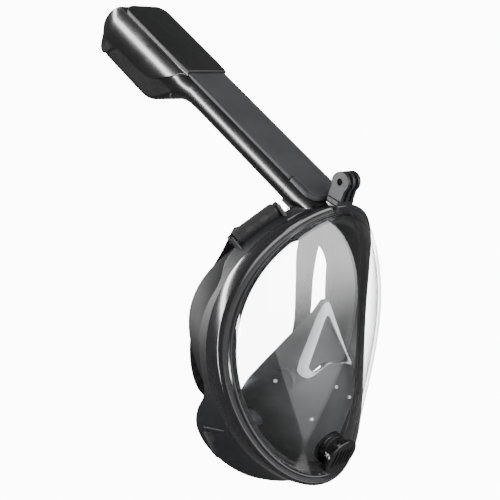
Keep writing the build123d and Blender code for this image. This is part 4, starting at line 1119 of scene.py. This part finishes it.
def pad_sheet(side_way):
    """One sheet of the pad, from its middle to its edge: a superellipse drawn outwards, row by row."""
    share = np.linspace(0, 1, 40)[:, None]
    angle = np.linspace(0, 2 * np.pi, 240, endpoint=False)[None, :]
    x = PAD_HALF[0] * np.sign(np.cos(angle)) * np.abs(np.cos(angle)) ** PAD_SQUARE * share
    z = PAD_HALF[1] * np.sign(np.sin(angle)) * np.abs(np.sin(angle)) ** PAD_SQUARE * share
    share = np.broadcast_to(share, x.shape)
    height = pad_height(x, z, share)
    return PAD_CENTRE + np.stack([x, side_way * height, z], axis=-1)


pad_points = np.concatenate([pad_sheet(-1.0), pad_sheet(1.0)[::-1]])
pad = skin("crown_pad_cushion", pad_points, "mask", finishes["pad fabric"])
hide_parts("crown_pad")

# %% [markdown]
# ## Block under the camera foot
# The camera foot stands on a small block that is moulded with the bezel. So the block has the bezel's finish
# and stands for the bezel's node too.

# %% Block under the camera foot
MOUNT_LEAN = np.radians(22.0)
MOUNT_SPOT = np.array([0.0, -41.2, 106.2])
MOUNT_UP = np.array([0.0, -np.sin(MOUNT_LEAN), np.cos(MOUNT_LEAN)])
MOUNT_FORWARD = np.array([0.0, -np.cos(MOUNT_LEAN), -np.sin(MOUNT_LEAN)])
BLOCK_HALF, BLOCK_CORNER = (9.0, 6.5), 2.0
BLOCK_LAYERS = ((-5.0, 0.6), (-1.0, 0.1), (-0.3, 0.0), (0.0, -0.3))
foot_edge = rounded_box(*BLOCK_HALF, BLOCK_CORNER, 5)
foot_rings = []
for height, grow in BLOCK_LAYERS:
    ring = foot_edge * (1 + grow / BLOCK_HALF[0])
    flat = ring[:, :1] * ACROSS + ring[:, 1:] * MOUNT_FORWARD
    foot_rings.append(MOUNT_SPOT + flat + height * MOUNT_UP)
mount_block = skin("mount_block", capped(np.stack(foot_rings)), "mask", bezel_gloss)
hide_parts("front_bezel")

# %% [markdown]
# ## Studio
# Black gloss shows only what it reflects, so the light is placed by what each surface should mirror. A long
# strip lies along the tube's direction, to draw one streak on its side. A large glowing card, bright at its
# top and fading down, stands where the lens mirrors it, and the floor lets such mirror rays through to it. A
# soft key from the front and above lights the grey pocket. The backdrop and floor look white to the camera.

# %% Camera
CAMERA_AT = (-0.70806, -0.59474, 0.19533)
CAMERA_BACK = Vector((-0.735, -0.664, 0.137))
CAMERA_LENS = 90.62
camera_data = bpy.data.cameras.new("camera")
camera_data.lens = CAMERA_LENS
camera_data.sensor_width = 36.0
camera = put_in_scene("camera", camera_data)
camera.location = CAMERA_AT
camera.rotation_euler = (-CAMERA_BACK).to_track_quat("-Z", "Y").to_euler()
bpy.context.scene.camera = camera
print("camera at", CAMERA_AT)

# %% Backdrop and floor
SEEN_WHITE = 12.0
SKY_STRENGTH = 0.16
WHITE = (1, 1, 1, 1)
FLOOR_GREY = (0.8, 0.8, 0.8, 1)
FLOOR_HALF = 3.0
FLOOR_GAP = 0.001


def by_ray(tree, ray, usual, special):
    """A mix that shows the usual shader, but the special one to rays of one kind."""
    path = tree.nodes.new("ShaderNodeLightPath")
    either = tree.nodes.new("ShaderNodeMixShader")
    tree.links.new(path.outputs[ray], either.inputs["Fac"])
    tree.links.new(usual, either.inputs[1])
    tree.links.new(special, either.inputs[2])
    return either.outputs["Shader"]


def stage_sheet(name, corners, paint):
    """A flat sheet of the studio, which is no part of the model."""
    mesh = bpy.data.meshes.new(name)
    mesh.from_pydata(corners, [], [tuple(range(len(corners)))])
    mesh.materials.append(paint)
    sheet = put_in_scene(name, mesh)
    return sheet


world = bpy.data.worlds.new("studio")
world.use_nodes = True
bpy.context.scene.world = world
world_tree = world.node_tree
sky = world_tree.nodes["Background"]
set_inputs(sky, {"Color": WHITE, "Strength": SKY_STRENGTH})
seen = new_node(world_tree, "Background", {"Color": WHITE, "Strength": SEEN_WHITE})
backdrop = by_ray(world_tree, "Is Camera Ray", sky.outputs["Background"], seen.outputs["Background"])
world_tree.links.new(backdrop, world_tree.nodes["World Output"].inputs["Surface"])

floor_paint, floor_tree, matte = new_material("white floor")
set_inputs(matte, {"Base Color": FLOOR_GREY, "Roughness": 0.9})
glow = new_node(floor_tree, "Emission", {"Strength": SEEN_WHITE})
opening = floor_tree.nodes.new("ShaderNodeBsdfTransparent")
shown = by_ray(floor_tree, "Is Camera Ray", matte.outputs["BSDF"], glow.outputs["Emission"])
shown = by_ray(floor_tree, "Is Glossy Ray", shown, opening.outputs["BSDF"])
floor_tree.links.new(shown, floor_tree.nodes["Material Output"].inputs["Surface"])
floor_z = cad_low[2] - FLOOR_GAP
floor_corners = [(x * FLOOR_HALF, y * FLOOR_HALF, floor_z) for x, y in SQUARE]
stage_sheet("studio_floor", floor_corners, floor_paint)
print("floor at", round(floor_z, 4), "m")


# %% Lights
def panel_light(name, at, toward, size, power, long_way=(0, 0, 1)):
    """A rectangular light at a place, facing a point, its long side along a direction."""
    data = bpy.data.lights.new(name, "AREA")
    data.shape = "RECTANGLE"
    data.size, data.size_y = size
    data.energy = power
    light = put_in_scene(name, data)
    back = (Vector(at) - Vector(toward)).normalized()
    up = Vector(long_way)
    up = (up - back * up.dot(back)).normalized()
    right = up.cross(back)
    turn = Matrix((right, up, back)).transposed()
    light.matrix_world = Matrix.Translation(Vector(at)) @ turn.to_4x4()
    light.visible_camera = False


TUBE_MIDDLE = Vector((0.0, 0.09, 0.19))
STREAK_TILT = np.radians(7.0)
STREAK_AWAY, STREAK_SIZE, STREAK_POWER = 1.1, (0.13, 2.6), 42.0
KEY_AT, KEY_TOWARD = (-0.5, -0.9, 1.4), (0.0, -0.03, 0.0)
KEY_SIZE, KEY_POWER = (0.5, 0.5), 13.0
streak_normal = Vector((-np.cos(STREAK_TILT), 0.0, 0.0)) - Vector(TUBE_BACK) * np.sin(STREAK_TILT)
streak_way = (-CAMERA_BACK).normalized().reflect(streak_normal)
streak_at = TUBE_MIDDLE + streak_way * STREAK_AWAY
panel_light("tube_streak", streak_at, TUBE_MIDDLE, STREAK_SIZE, STREAK_POWER, tuple(TUBE_WAY))
panel_light("key", KEY_AT, KEY_TOWARD, KEY_SIZE, KEY_POWER)
print("lights:", len(bpy.data.lights))

# %% Card that the lens mirrors, bright at the top and fading down
CARD_MIDDLE = Vector((0.13, -1.55, -0.06))
CARD_HALF_WIDE, CARD_HALF_HIGH = 1.84, 1.2
CARD_FADE = {"From Min": -0.55, "From Max": 0.55, "To Min": 0.9, "To Max": 6.0}
card_paint, card_tree, _ = new_material("card glow")
card_tree.nodes.clear()
card_place = card_tree.nodes.new("ShaderNodeTexCoord")
card_split = card_tree.nodes.new("ShaderNodeSeparateXYZ")
card_fade = new_node(card_tree, "MapRange", CARD_FADE)
card_fade.interpolation_type = "SMOOTHSTEP"
card_glow = card_tree.nodes.new("ShaderNodeEmission")
card_output = card_tree.nodes.new("ShaderNodeOutputMaterial")
card_tree.links.new(card_place.outputs["Object"], card_split.inputs["Vector"])
card_tree.links.new(card_split.outputs["Z"], card_fade.inputs["Value"])
card_tree.links.new(card_fade.outputs["Result"], card_glow.inputs["Strength"])
card_tree.links.new(card_glow.outputs["Emission"], card_output.inputs["Surface"])
card_turn = np.linspace(0, 2 * np.pi, 96, endpoint=False)
card_x, card_z = CARD_HALF_WIDE * np.cos(card_turn), CARD_HALF_HIGH * np.sin(card_turn)
card_corners = np.stack([card_x, np.zeros_like(card_x), card_z], axis=-1)
card = stage_sheet("lens_card", card_corners.tolist(), card_paint)
card.location = CARD_MIDDLE
card.visible_camera = False
print("card", 2 * CARD_HALF_WIDE, "by", 2 * CARD_HALF_HIGH, "m")

# %% [markdown]
# ## Size
# The imported model's box is printed, because a skin may go only a little past the machined shape that it
# stands for.

# %% Print the imported model's box
print("CAD box", cad_low, cad_high)
